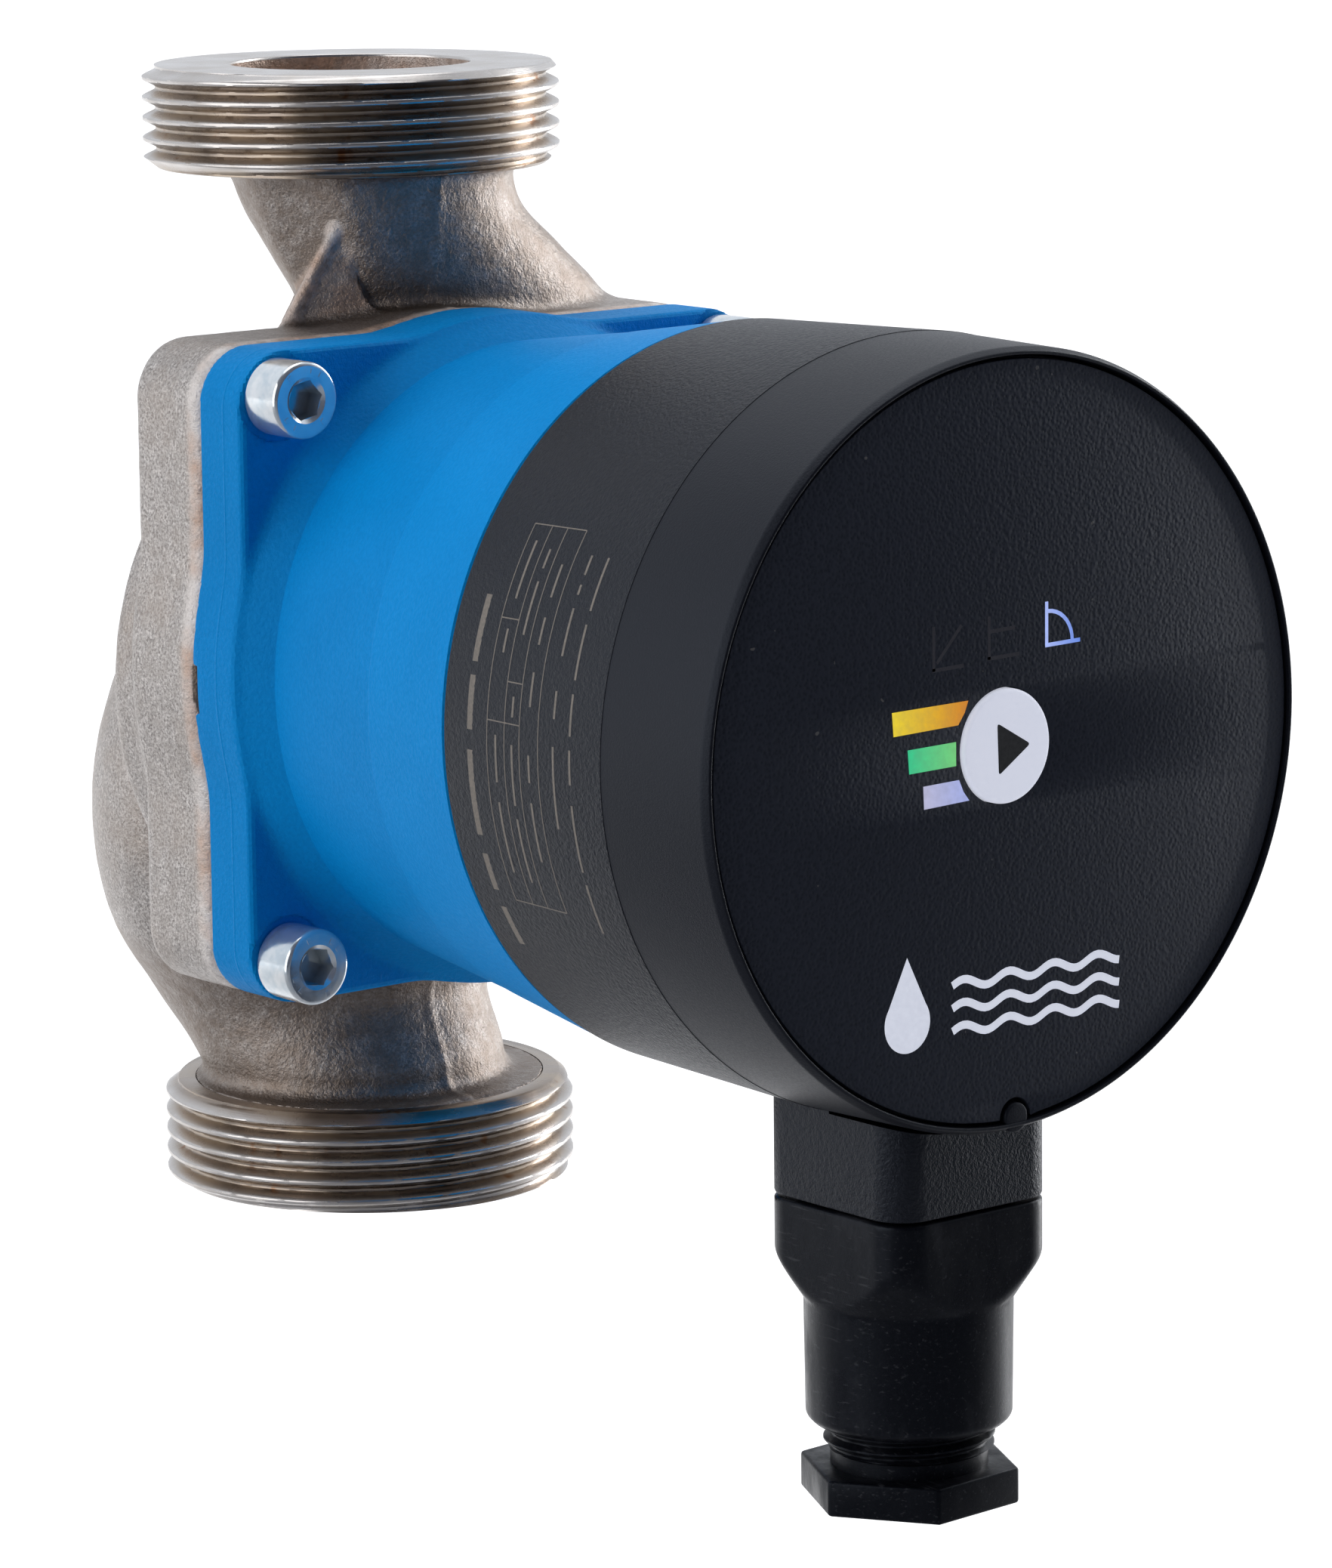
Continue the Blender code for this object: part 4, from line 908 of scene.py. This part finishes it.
def make_casting(finish):
    low, high = box("pump_housing")
    margin = Vector((1.5, 1.5, 1.5))
    casting = skin_of("pump_casting", casting_field, low - margin, high + margin, 0.5)
    roughened(casting, 4, 0.05)
    chamber = turned("chamber", [(0, 5.5), (31, 5.5), (31, 15.8), (33.6, 15.8), (33.6, 24), (0, 24)], MOTOR)
    lower_bore = rod("lower_bore", PORT_BORE, -10, 11.9)
    upper_bore = rod("upper_bore", PORT_BORE, 117.8, 140)
    eye = rod("eye", 10.5, -8, 8, MOTOR, 192)
    suction = pipe("suction", [(0, 0, 10), (0, 7, 26), (0, 10, 46), (0, 8, 62)], [13.4, 13.6, 13.6, 12])
    discharge = pipe("discharge", [(16, -11.2, 86.2), (11, -8, 96), (3, -2, 110), (0, 0, 120)],
                     [4.2, 6.6, 10.8, 13.4])
    holes = bolt_holes(FLANGE_BACK - 0.4, 24)
    combine(casting, "DIFFERENCE", chamber, lower_bore, upper_bore, suction, eye, discharge, *holes)
    paint_casting(casting)
    finished(casting, "pump_casting", "root", finish, "cast_alloy", "pump_housing")


def make_port(name, face, way, finish):
    """A threaded ring with a helical pipe thread, its sealing face and a short lip."""
    angle = np.linspace(0, 2 * math.pi, 288, endpoint=False)[None, :]
    along = np.linspace(0, PORT_LENGTH, 116)[:, None]
    phase = (way * along / THREAD_PITCH - angle / (2 * math.pi)) % 1.0
    cut = 1 - np.clip((np.abs(phase - 0.5) * 2 - 0.16) / 0.68, 0, 1)
    cut = cut * cut * (3 - 2 * cut) * 0.35 + cut * 0.65
    chamfers = np.minimum(23.06 + along * 0.9, 22.3 + (PORT_LENGTH - along) * 1.3)
    outer = circles(np.minimum(THREAD_CREST - THREAD_DEPTH * cut, chamfers), angle, face + way * along)
    inside, lip, chamfer = 20.45, 0.35, 0.12
    inner = [(inside, PORT_LENGTH), (inside, lip), (PORT_BORE, lip), (PORT_BORE, chamfer)]
    inner += [(PORT_BORE + chamfer + k * 8.2 / 20, 0) for k in range(21)]
    radius, height = np.array(inner).T[:, :, None]
    port = grid_mesh(name, np.concatenate([outer, circles(radius, angle, face + way * height)]), closed=True)

    x, y, z = places_of(port)
    from_pipe, height = np.hypot(x, y), way * (z - face)
    threaded = (height > 0.9) & (height < PORT_LENGTH - 0.2) & (from_pipe > 21)
    shoulder = 0.8 * (height > PORT_LENGTH - 0.12)
    paint(port, "root", np.where(threaded, fade(THREAD_CREST - from_pipe, THREAD_DEPTH, 0), shoulder))
    paint(port, "lathe", np.where(height < 0.05, 0.5 + 0.5 * np.sin(from_pipe * 9.0), 0.5))
    finished(port, name, "root", finish, "cast_alloy", "pump_housing", angle=50)


# ---------------------------------------------------------------- the motor
def housing_field(x, y, z):
    """The painted flange and the cone in front of it."""
    depth, up = -y, z - MOTOR_HEIGHT
    radius = np.hypot(x, up)
    flange = slab(flange_outline_field(x, up), depth, PAINT_BACK - 3, FLANGE_FRONT, 0.8)
    cone = np.maximum(
        (radius - STEP_RADIUS) * 0.86 - (STEP_DEPTH - depth) * 0.5,
        np.maximum(radius - 37.9, depth - STEP_DEPTH - 0.8),
    )
    whole = smooth_min(flange, cone, 0.8)
    for bolt_x, bolt_z in bolt_places():
        spot = np.hypot(x - bolt_x, up - bolt_z) - 5.0
        whole = smooth_max(whole, -corner(spot, FLANGE_FRONT - 0.4 - depth), 0.3)
    drain = corner(corner(x + DRAIN_END, depth - DRAIN_DEPTH), np.abs(z - DRAIN_HEIGHT) - 2.7)
    whole = smooth_max(whole, -drain, 0.2)
    return smooth_max(whole, PAINT_BACK - depth, 0.3)


def make_motor_housing(finish):
    reach = FLANGE_BULGE + 1.5
    low = (-reach, -STEP_DEPTH - 2, MOTOR_HEIGHT - reach)
    high = (reach, -PAINT_BACK + 2, MOTOR_HEIGHT + reach)
    housing = skin_of("motor_housing", housing_field, low, high, 0.45)
    front = SHELL_BACK - GAP
    barrel = turned("barrel", [
        (0, 22), (STEP_RADIUS - 1.5, 22), (STEP_RADIUS - 1.5, STEP_DEPTH - 0.3), (STEP_RADIUS, STEP_DEPTH),
        (CREASE_RADIUS - 0.10, CREASE_DEPTH - 0.05), (CREASE_RADIUS + 0.03, CREASE_DEPTH + 0.15),
        (SHELL_REAR_RADIUS - 0.15, front - 0.2), (SHELL_REAR_RADIUS - 0.4, front), (0, front),
    ], MOTOR, 256)
    hollow = turned("hollow", [
        (0, 15), (30, 15), (30, 20.9), (17.9, 20.9), (17.9, 24.5), (31.5, 26.5), (31.5, 56), (34.5, 59),
        (34.5, 66.8), (36.8, 66.8), (36.8, 75), (0, 75),
    ], MOTOR)
    combine(housing, "UNION", barrel)
    combine(housing, "DIFFERENCE", hollow, *bolt_holes(15, 32))
    finished(housing, "motor_housing", "root", finish, "blue_paint", "stator_housing", angle=11)


def make_bolts(finish):
    """Socket-head bolts, with a ring of small plain marks on each head."""
    seat = FLANGE_FRONT - 0.35
    top = depths("flange_bolt_1")[1]
    head, edge, key = 4.25, 0.5, 2.31
    outline = [(0, 9), (2.0, 9), (BOLT_RADIUS, 9.5), (BOLT_RADIUS, seat), (3.9, seat), (head, seat + 0.2),
               (head, top - edge)]
    outline += arc(head - edge, top - edge, edge, 15, 90, 5)
    outline += [(3.0, top), (0, top)]
    bolt = turned("bolt", outline, steps=96)
    recess = turned("key", [(0, top - 2.9), (key, top - 2.5), (key, top + 2), (0, top + 2)], steps=6)
    mouth = [(0, top - 0.35), (key * 0.9, top - 0.35), (key * 1.16, top + 0.1), (0, top + 0.1)]
    combine(bolt, "DIFFERENCE", recess, turned("mouth", mouth, steps=48))
    for middle in (40, 62, 118, 205, 232, 300):
        mark = arc(0, 0, 3.55, middle - 4, middle + 4, 4) + arc(0, 0, 3.0, middle + 4, middle - 4, 4)
        combine(bolt, "UNION", plate("mark", [mark], top - 0.1, top + 0.06))
    x, y, along = places_of(bolt)
    # Marks the key recess for its painted shade.
    paint(bolt, "recess", (along < top - edge) & (along > top - 4) & (np.hypot(x, y) < key + 0.1))
    turns = (12, 40, 25, -8)
    for number, ((x, z), turn) in enumerate(zip(bolt_places(), turns), 1):
        mesh = bolt.data.copy()
        mesh.transform(MOTOR @ Matrix.Translation((x, z, 0)) @ Matrix.Rotation(math.radians(turn), 4, "Z"))
        finished(link(mesh, "bolt"), f"socket_bolt_{number}", "root", finish, "zinc_plate",
                 f"flange_bolt_{number}", angle=30)
    bpy.data.objects.remove(bolt)


# ---------------------------------------------------------------- the control head
def rounded(points, radius, count=4, sharp=()):
    """Rounds the corners of a closed (radius, height) outline, but for those said to stay sharp."""
    made = []
    befores, afters = points[-1:] + points[:-1], points[1:] + points[:1]
    for number, (before, here, after) in enumerate(zip(befores, points, afters)):
        here, back, ahead = Vector(here), Vector(before) - Vector(here), Vector(after) - Vector(here)
        if here.x == 0 or number in sharp:
            made.append(tuple(here))
            continue
        trim = min(radius, 0.45 * back.length, 0.45 * ahead.length)
        start, end = here + back.normalized() * trim, here + ahead.normalized() * trim
        for k in range(count + 1):
            t = k / count
            made.append(tuple((1 - t) ** 2 * start + 2 * t * (1 - t) * here + t * t * end))
    return made


def plug_square(half, corner_radius):
    """The outline of the plug's square, with round corners."""
    inset = half - corner_radius
    outline = []
    for start, x, y in ((0, 1, 1), (90, -1, 1), (180, -1, -1), (270, 1, -1)):
        outline += arc(x * inset, y * inset, corner_radius, start, start + 90, 12)
    return outline


def contact_slots(size, height):
    """A cutter for each of the three contacts, round a height."""
    return [block("slot", size, (5 * (number - 1), 4.5 - PLUG_DEPTH, height)) for number in range(3)]


def make_rear_shell(finish):
    outer, back, seam = SHELL_RADIUS + 0.3, SHELL_BACK, RING_BACK
    outline = [(18, back), (SHELL_REAR_RADIUS, back), (SHELL_RADIUS, seam), (SHELL_RADIUS - WALL, seam),
               (SHELL_REAR_RADIUS - WALL, back + WALL), (18, back + WALL)]
    shell = turned("rear_shell", rounded(outline, 0.25, 3, (2, 3)), MOTOR, 256)
    socket = plate("socket", [plug_square(SOCKET_HALF, SOCKET_CORNER)], PLUG_TOP + GAP, 42, PLUG, 0.3)
    beyond_shell = [(0, 60), (40.3, 60), (40.3, seam), (outer, seam), (outer, 120), (0, 120)]
    trim = turned("trim", beyond_shell, MOTOR, 128)
    mouth = plate("mouth", [plug_square(SOCKET_HALF - 2, 2.2)], 10, 20, PLUG)
    combine(socket, "DIFFERENCE", trim, mouth, *contact_slots((2.6, 1.3, 20), 26))
    combine(shell, "UNION", socket)
    finished(shell, "rear_shell", "root", finish, "black_plastic", "control_rear_shell", angle=28)


def make_front_ring(finish):
    """The smooth front ring, with its thin bezel and the small tab at the bottom."""
    back, front = depths("control_front_ring")
    floor = DISC_BACK - GAP
    outline = [(39.4, back), (SHELL_RADIUS - 0.05, back), (40.95, front - 0.9), (40.5, front),
               (DISC_RADIUS + 0.45, front), (DISC_RADIUS + 0.3, floor), (29, floor), (29, 108), (39, 108)]
    ring = turned("front_ring", rounded(outline, 0.22, 4, (0, 1)), MOTOR, 256)
    tab = [(0, DISC_BACK - 1.2), (1.6, DISC_BACK - 1.2), (1.6, front - 0.15), (0, front - 0.15)]
    place = facing_front(TAB_X, MOTOR_HEIGHT - TAB_DROP)
    combine(ring, "UNION", turned("tab", rounded(tab, 0.3), place, 64))
    finished(ring, "front_ring", "root", finish, "black_plastic", "control_front_ring", angle=28)


def make_disc(finish):
    """The foil-covered front disc, with its button hole and the notch for the ring's tab."""
    reach = 2.1
    half = math.degrees(math.asin(reach / DISC_RADIUS))
    rim = arc(0, 0, DISC_RADIUS, -90 + 1.0 + half, 270 + 1.0 - half, 300)
    notch = arc(TAB_X, -TAB_DROP, reach, 180, 0, 24)
    hole = circle(BUTTON_X, BUTTON_Z - MOTOR_HEIGHT, BUTTON_RADIUS + 0.12)
    disc = plate("front_disc", [rim + notch, hole], DISC_BACK, DISC_FRONT, MOTOR, 0.1)
    finished(disc, "front_disc", "root", finish, "display_foil", "display_disc", angle=30)


def on_disc(name, outline, body, finish, slot, lift=0.02, face=DISC_FRONT):
    """A thin printed or glowing shape on the front, given in x and z."""
    points = [(x, z - MOTOR_HEIGHT) for x, z in outline]
    return finished(plate(name, [points], face - 0.1, face + lift, MOTOR), name, body, finish, slot)


def stroke(points, width):
    """The outline of a line of constant width through points."""
    line = [Vector(point) for point in points]
    runs = [(after - here).normalized() for here, after in zip(line, line[1:])]
    left, right = [], []
    for here, back, ahead in zip(line, runs[:1] + runs, runs + runs[-1:]):
        way = (back + ahead).normalized()
        side = Vector((-way.y, way.x))
        spread = width / 2 / max(0.5, side.dot(Vector((-ahead.y, ahead.x))))
        left.append(tuple(here + side * spread))
        right.append(tuple(here - side * spread))
    return right + left[::-1]


def make_display(printed, faint):
    """The glowing level bars, the mode symbols, and a plain droplet mark and waves in a print that glows as
    painted light.
    """
    bars = (
        ("level_bar_high", [(-16.1, 70.0), (-15.9, 67.5), (-7.1, 67.7), (-6.2, 68.9), (-5.7, 70.1)],
         (0.80, 0.62, 0.02), (0.62, 0.20, 0.005)),
        ("level_bar_middle", [(-14.0, 65.9), (-13.8, 63.4), (-7.4, 63.5), (-7.4, 66.0)],
         (0.02, 0.55, 0.25), (0.16, 0.60, 0.19)),
        ("level_bar_low", [(-11.9, 61.9), (-11.8, 59.5), (-5.6, 59.7), (-6.4, 60.7), (-7.0, 62.0)],
         (0.47, 0.47, 0.66), (0.36, 0.42, 0.80)),
    )
    for name, outline, left, right in bars:
        xs = [x for x, _ in outline]
        glow = lit_window(f"{name}_light", left, right, min(xs), max(xs))
        on_disc(name, outline[::-1], "root", glow, "light_guide")
    bright = lit_window("mode_symbol_light", (0.40, 0.50, 0.95), (0.12, 0.25, 0.80), 5, 10)
    curve = arc(5.4, 74.8, 3.4, 90, 0, 9)
    for name, points in (
        ("mode_curve_stem", [(5.2, 79.2), (5.2, 74.65)]),
        ("mode_curve_base", [(5.0, 74.65), (9.9, 74.75)]),
        ("mode_curve_arc", curve),
    ):
        on_disc(name, stroke(points, 0.42), "root", bright, "light_guide")
    for name, points in (
        ("mode_slope_stem", [(-10.4, 78.2), (-10.4, 73.6)]),
        ("mode_slope_base", [(-10.6, 73.7), (-6.3, 73.8)]),
        ("mode_slope_line", [(-10.0, 74.4), (-6.6, 78.0)]),
        ("mode_level_stem", [(-2.8, 78.5), (-2.8, 74.0)]),
        ("mode_level_base", [(-3.0, 74.1), (1.4, 74.2)]),
        ("mode_level_line", [(-2.6, 76.9), (0.8, 77.0)]),
    ):
        on_disc(name, stroke(points, 0.40), "root", faint, "display_foil", 0.01)
    drop = arc(-14.2, 38.6 - 0.35 * 3.1, 3.1, -215, 35, 40) + [(-14.2, 44.4)]
    on_disc("droplet_mark", drop, "root", printed, "white_plastic")
    for number, low in enumerate((40.6, 38.2, 35.8), 1):
        wave = [(-8.0 + 0.5 * k, low + 0.5 * math.sin(k * 0.5)) for k in range(48)]
        on_disc(f"wave_mark_{number}", stroke(wave, 0.85), "root", printed, "white_plastic")


def make_button(cap_finish, printed_dark):
    """The button's cap, which glows as painted light, the arrow printed on it and the pin behind it."""
    low, high = depths("mode_button")
    edge, inner, pin = 0.4, 4.8, 1.6
    outline = [(0, high), (0.5 * BUTTON_RADIUS, high), (BUTTON_RADIUS - 0.5, high - 0.02)]
    outline += arc(BUTTON_RADIUS - edge, high - 0.42, edge, 80, 0, 5)
    outline += [(BUTTON_RADIUS, DISC_BACK - GAP), (inner, DISC_BACK - GAP), (inner, 106.6), (pin, 106.6),
                (pin, low), (0, low)]
    cap = turned("button_cap", outline, facing_front(BUTTON_X, BUTTON_Z), 128)
    finished(cap, "button_cap", "button", cap_finish, "white_plastic", "mode_button", angle=30)
    outline = rounded([(-2.15, 67.4), (2.45, 64.75), (-1.95, 61.9)], 0.45)
    arrow = on_disc("button_arrow", outline[::-1], "button", printed_dark, "black_plastic", 0.015, high)
    # The button stands a little proud, and the grazing side lights would draw its long shadow on the foil.
    for piece in (cap, arrow):
        piece.visible_shadow = False
        piece.visible_diffuse = False
        piece.visible_glossy = False


# ---------------------------------------------------------------- the mains plug
def plug_field(x, y, z):
    """The plug's outside: a square top that is cut by a cone, over a round barrel."""
    east, north = x, y + PLUG_DEPTH
    from_axis = np.hypot(east, north)
    sides = square(east, north, SOCKET_HALF, SOCKET_CORNER)
    cone = (from_axis - 14.15 + (7.9 - z) * 0.66) * 0.83
    upper = smooth_max(sides, cone, 0.5)
    upper = smooth_max(upper, np.maximum(z - PLUG_TOP, 1.6 - z), 0.35)
    barrel = from_axis - (11.2 - 0.012 * (2 - z))
    barrel = smooth_max(barrel, np.maximum(-10.2 - z, z - 5), 0.35)
    barrel = smooth_max(barrel, (from_axis - 10.2 - (z + 10.2)) * 0.7, 0.3)
    return np.minimum(upper, barrel)


def make_plug(finish):
    low, high = (-13, -PLUG_DEPTH - 13, -11.5), (13, -PLUG_DEPTH + 13, PLUG_TOP + 1)
    plug = skin_of("plug_visual", plug_field, low, high, 0.3)
    boss = plate("boss", [plug_square(SOCKET_HALF - 2.3, 2)], 10, 19, PLUG)
    bore = turned("bore", [(0, 4), (8.6, 4), (9.5, 3), (9.5, -20), (0, -20)], PLUG, 96)
    combine(plug, "UNION", boss)
    combine(plug, "DIFFERENCE", bore, *contact_slots((3.4, 3.0, 30), 12))
    finished(plug, "mains_plug", "plug", finish, "black_plastic", "plug_body", angle=60)


def make_gland(finish):
    """The gland screw: a helical thread, a plain neck and a hexagonal head."""
    low, high = box("gland_screw")
    bottom, neck_top = low.z, -13.2
    crest, neck, depth, pitch = 9.2, 8.45, 0.75, 1.41
    angle = np.linspace(0, 2 * math.pi, 192, endpoint=False)[None, :]
    along = np.linspace(bottom + 1.0, high.z, 150)[:, None]
    phase = (along / pitch - angle / (2 * math.pi)) % 1.0
    radius = crest - depth * np.clip(1 - (np.abs(phase - 0.5) * 2 - 0.15) / 0.7, 0, 1)
    radius = np.minimum(radius, crest - 0.6 + high.z - along)
    radius = np.minimum(radius, neck + np.maximum(along - neck_top, 0) * 1.5)
    shank = grid_mesh("shank", circles(radius, angle, along))
    shank.data.transform(PLUG)
    hexagon = arc(0, 0, 21.0 / math.sqrt(3), -90 - 26.5, 270 - 60 - 26.5, 5)
    head = plate("head", [hexagon], bottom, bottom + 3.9, PLUG)
    softened = head.modifiers.new("edges", "BEVEL")
    softened.width = 0.35
    softened.segments = 3
    softened.limit_method = "ANGLE"
    baked(head)
    funnel = [(0, -30), (6.2, -30), (6.2, bottom), (5.0, bottom + 1.6), (5.0, 0), (0, 0)]
    way = turned("way", funnel, PLUG, 96)
    combine(head, "UNION", shank)
    combine(head, "DIFFERENCE", way)
    finished(head, "gland_nut", "gland", finish, "black_plastic", "gland_screw", angle=35)


# ---------------------------------------------------------------- the rating plate's grid
def etched_line(path, width):
    """A thin line on the rear shell, along (depth, angle) points."""
    rows = []
    for k, (depth, angle) in enumerate(path):
        nearby = path[k + 1] if k < len(path) - 1 else path[k - 1]
        round_way = nearby[1] != angle
        radius = SHELL_REAR_RADIUS + (depth - SHELL_BACK) / (RING_BACK - SHELL_BACK) * SHELL_FLARE
        ring = []
        for side, lift in ((-1, -0.05), (1, -0.05), (1, 0.012), (-1, 0.012)):
            d = depth + (side * width / 2 if round_way else 0)
            a = math.radians(angle) + (0 if round_way else side * width / 2 / radius)
            ring.append(((radius + lift) * math.cos(a), -d, MOTOR_HEIGHT + (radius + lift) * math.sin(a)))
        rows.append(ring)
    return grid_mesh("etched_line", rows)


def make_rating_grid(finish):
    """A faint etched table with plain dashes in place of its entries."""
    top, bottom = 146.4, 204.0
    levels = (76.6, 79.6, 82.2, 85.4)
    lines = [[(depth, top + (bottom - top) * k / 40) for k in range(41)] for depth in levels]
    for angle, first, last in ((top, 0, 3), (161.0, 0, 1), (170.0, 1, 2), (176.0, 0, 2), (bottom, 0, 3)):
        first, last = levels[first], levels[last]
        lines.append([(first, angle), ((first + last) / 2, angle), (last, angle)])
    pieces = [etched_line(path, 0.13) for path in lines]
    rows = (
        (73.6, 0.9, ((158, 168), (170, 178), (181, 194), (197, 203), (206, 213))),
        (78.1, 0.32, ((149, 158), (162.5, 166), (178, 185), (188, 199))),
        (80.9, 0.32, ((150, 153), (155, 163), (172, 175), (179, 188), (190, 200))),
        (83.8, 0.32, ((152, 157), (160, 164), (168, 173), (180, 184), (187, 196))),
        (88.0, 0.32, ((150, 153), (154.5, 156), (158, 165), (170, 174), (178, 190))),
        (90.8, 0.32, ((150, 158), (160, 168), (170, 176), (178, 183), (186, 196), (198, 206))),
    )
    for depth, width, dashes in rows:
        for first, last in dashes:
            count = max(3, round(last - first))
            path = [(depth, first + (last - first) * k / count) for k in range(count + 1)]
            pieces.append(etched_line(path, width))
    finished(join_meshes("rating_grid", pieces), "rating_grid", "root", finish, "black_plastic")


def join_meshes(name, things):
    """Puts several shapes into one piece."""
    shape = bmesh.new()
    for thing in things:
        shape.from_mesh(thing.data)
        bpy.data.objects.remove(thing)
    mesh = bpy.data.meshes.new(name)
    shape.to_mesh(mesh)
    shape.free()
    return link(mesh, name)


# ---------------------------------------------------------------- the pieces inside
def finish_inside():
    """Gives each carried-over CAD node its own material."""
    looks = {
        "stainless": speckled("inner_stainless", (0.60, 0.60, 0.61), (0.50, 0.50, 0.52), 0.25, 1.0),
        "electrical_steel": laminated("electrical_steel", (0.16, 0.17, 0.19), (0.42, 0.43, 0.46), 0.42),
        "magnet": speckled("magnet", (0.08, 0.08, 0.09), (0.13, 0.13, 0.14), 0.5, 0.6, 2.5),
        "enamelled_copper": wound_copper(),
        "brass": speckled("brass", (0.74, 0.52, 0.20), (0.62, 0.42, 0.15), 0.28, 1.0),
        "ceramic": speckled("ceramic", (0.74, 0.71, 0.64), (0.66, 0.63, 0.57), 0.22, 0.0, 3.0),
        "carbon": speckled("carbon", (0.045, 0.045, 0.048), (0.075, 0.075, 0.08), 0.45, 0.1, 3.0),
        "rubber": speckled("rubber", (0.018, 0.018, 0.018), (0.03, 0.03, 0.03), 0.75, 0.0, 2.0),
        "impeller_plastic": speckled("impeller_plastic", (0.09, 0.09, 0.095), (0.14, 0.14, 0.145), 0.42),
        "circuit_board": speckled("circuit_board", (0.012, 0.13, 0.045), (0.02, 0.19, 0.07), 0.4, 0.0, 0.8),
        "light_guide": speckled("light_guide", (0.74, 0.77, 0.80), (0.66, 0.70, 0.74), 0.18, 0.0, 1.0),
        "tin_plate": speckled("tin_plate", (0.74, 0.74, 0.72), (0.62, 0.62, 0.61), 0.3, 1.0),
        "black_plastic": speckled("inner_black", (0.02, 0.02, 0.022), (0.035, 0.035, 0.038), 0.5, 0.0, 4.0),
        "white_plastic": speckled("inner_white", (0.62, 0.63, 0.64), (0.54, 0.55, 0.57), 0.45, 0.0, 3.0),
        "zinc_plate": speckled("inner_zinc", (0.66, 0.69, 0.71), (0.54, 0.58, 0.62), 0.25, 1.0),
    }
    for row in FRAME["record"]["subparts"]:
        thing = FRAME["nodes"][row["node"]]
        if thing.hide_render or row["material_slot"] not in looks:
            continue
        thing.data.materials.clear()
        thing.data.materials.append(looks[row["material_slot"]])


add_camera()
add_light()
add_floor()

make_casting(cast_metal())
TURNED = turned_metal()
make_port("lower_port_thread", 0.0, 1.0, TURNED)
make_port("upper_port_thread", PORT_SPAN, -1.0, TURNED)
make_motor_housing(blue_paint())
make_bolts(zinc_plate())

make_rear_shell(moulded_black("shell_plastic", (0.0055, 0.006, 0.0095), 0.40, 0.50, 0.30, 0.30))
make_front_ring(moulded_black("ring_plastic", (0.006, 0.0065, 0.0105), 0.40, 0.25, 0.04, 0.27))
make_disc(display_foil())
make_display(
    # This print glows as painted light.
    speckled("printed_grey", (0.62, 0.645, 0.73), (0.57, 0.595, 0.68), 0.45, 0.0, 2.0, 0.01, glow=0.75),
    speckled("unlit_symbol", (0.022, 0.022, 0.036), (0.026, 0.026, 0.042), 0.4, 0.0, 2.0, 0.02),
)
make_button(
    # The cap glows as painted light.
    speckled("button_plastic", (0.64, 0.66, 0.75), (0.59, 0.615, 0.71), 0.4, 0.0, 3.0, 0.015, glow=0.72),
    speckled("printed_black", (0.008, 0.009, 0.012), (0.016, 0.017, 0.02), 0.35, 0.0, 2.5, 0.02),
)
make_plug(moulded_black("plug_plastic", (0.0035, 0.0038, 0.006), 0.34, 0.5, 0.02, 0.16, scuff=0.3))
make_gland(moulded_black("gland_plastic", (0.0025, 0.0028, 0.0045), 0.36, 0.5, 0.02, 0.15, scuff=0.2))
make_rating_grid(speckled("etched", (0.17, 0.15, 0.13), (0.24, 0.21, 0.18), 0.6, 0.0, 3.0, 0.01))
finish_inside()
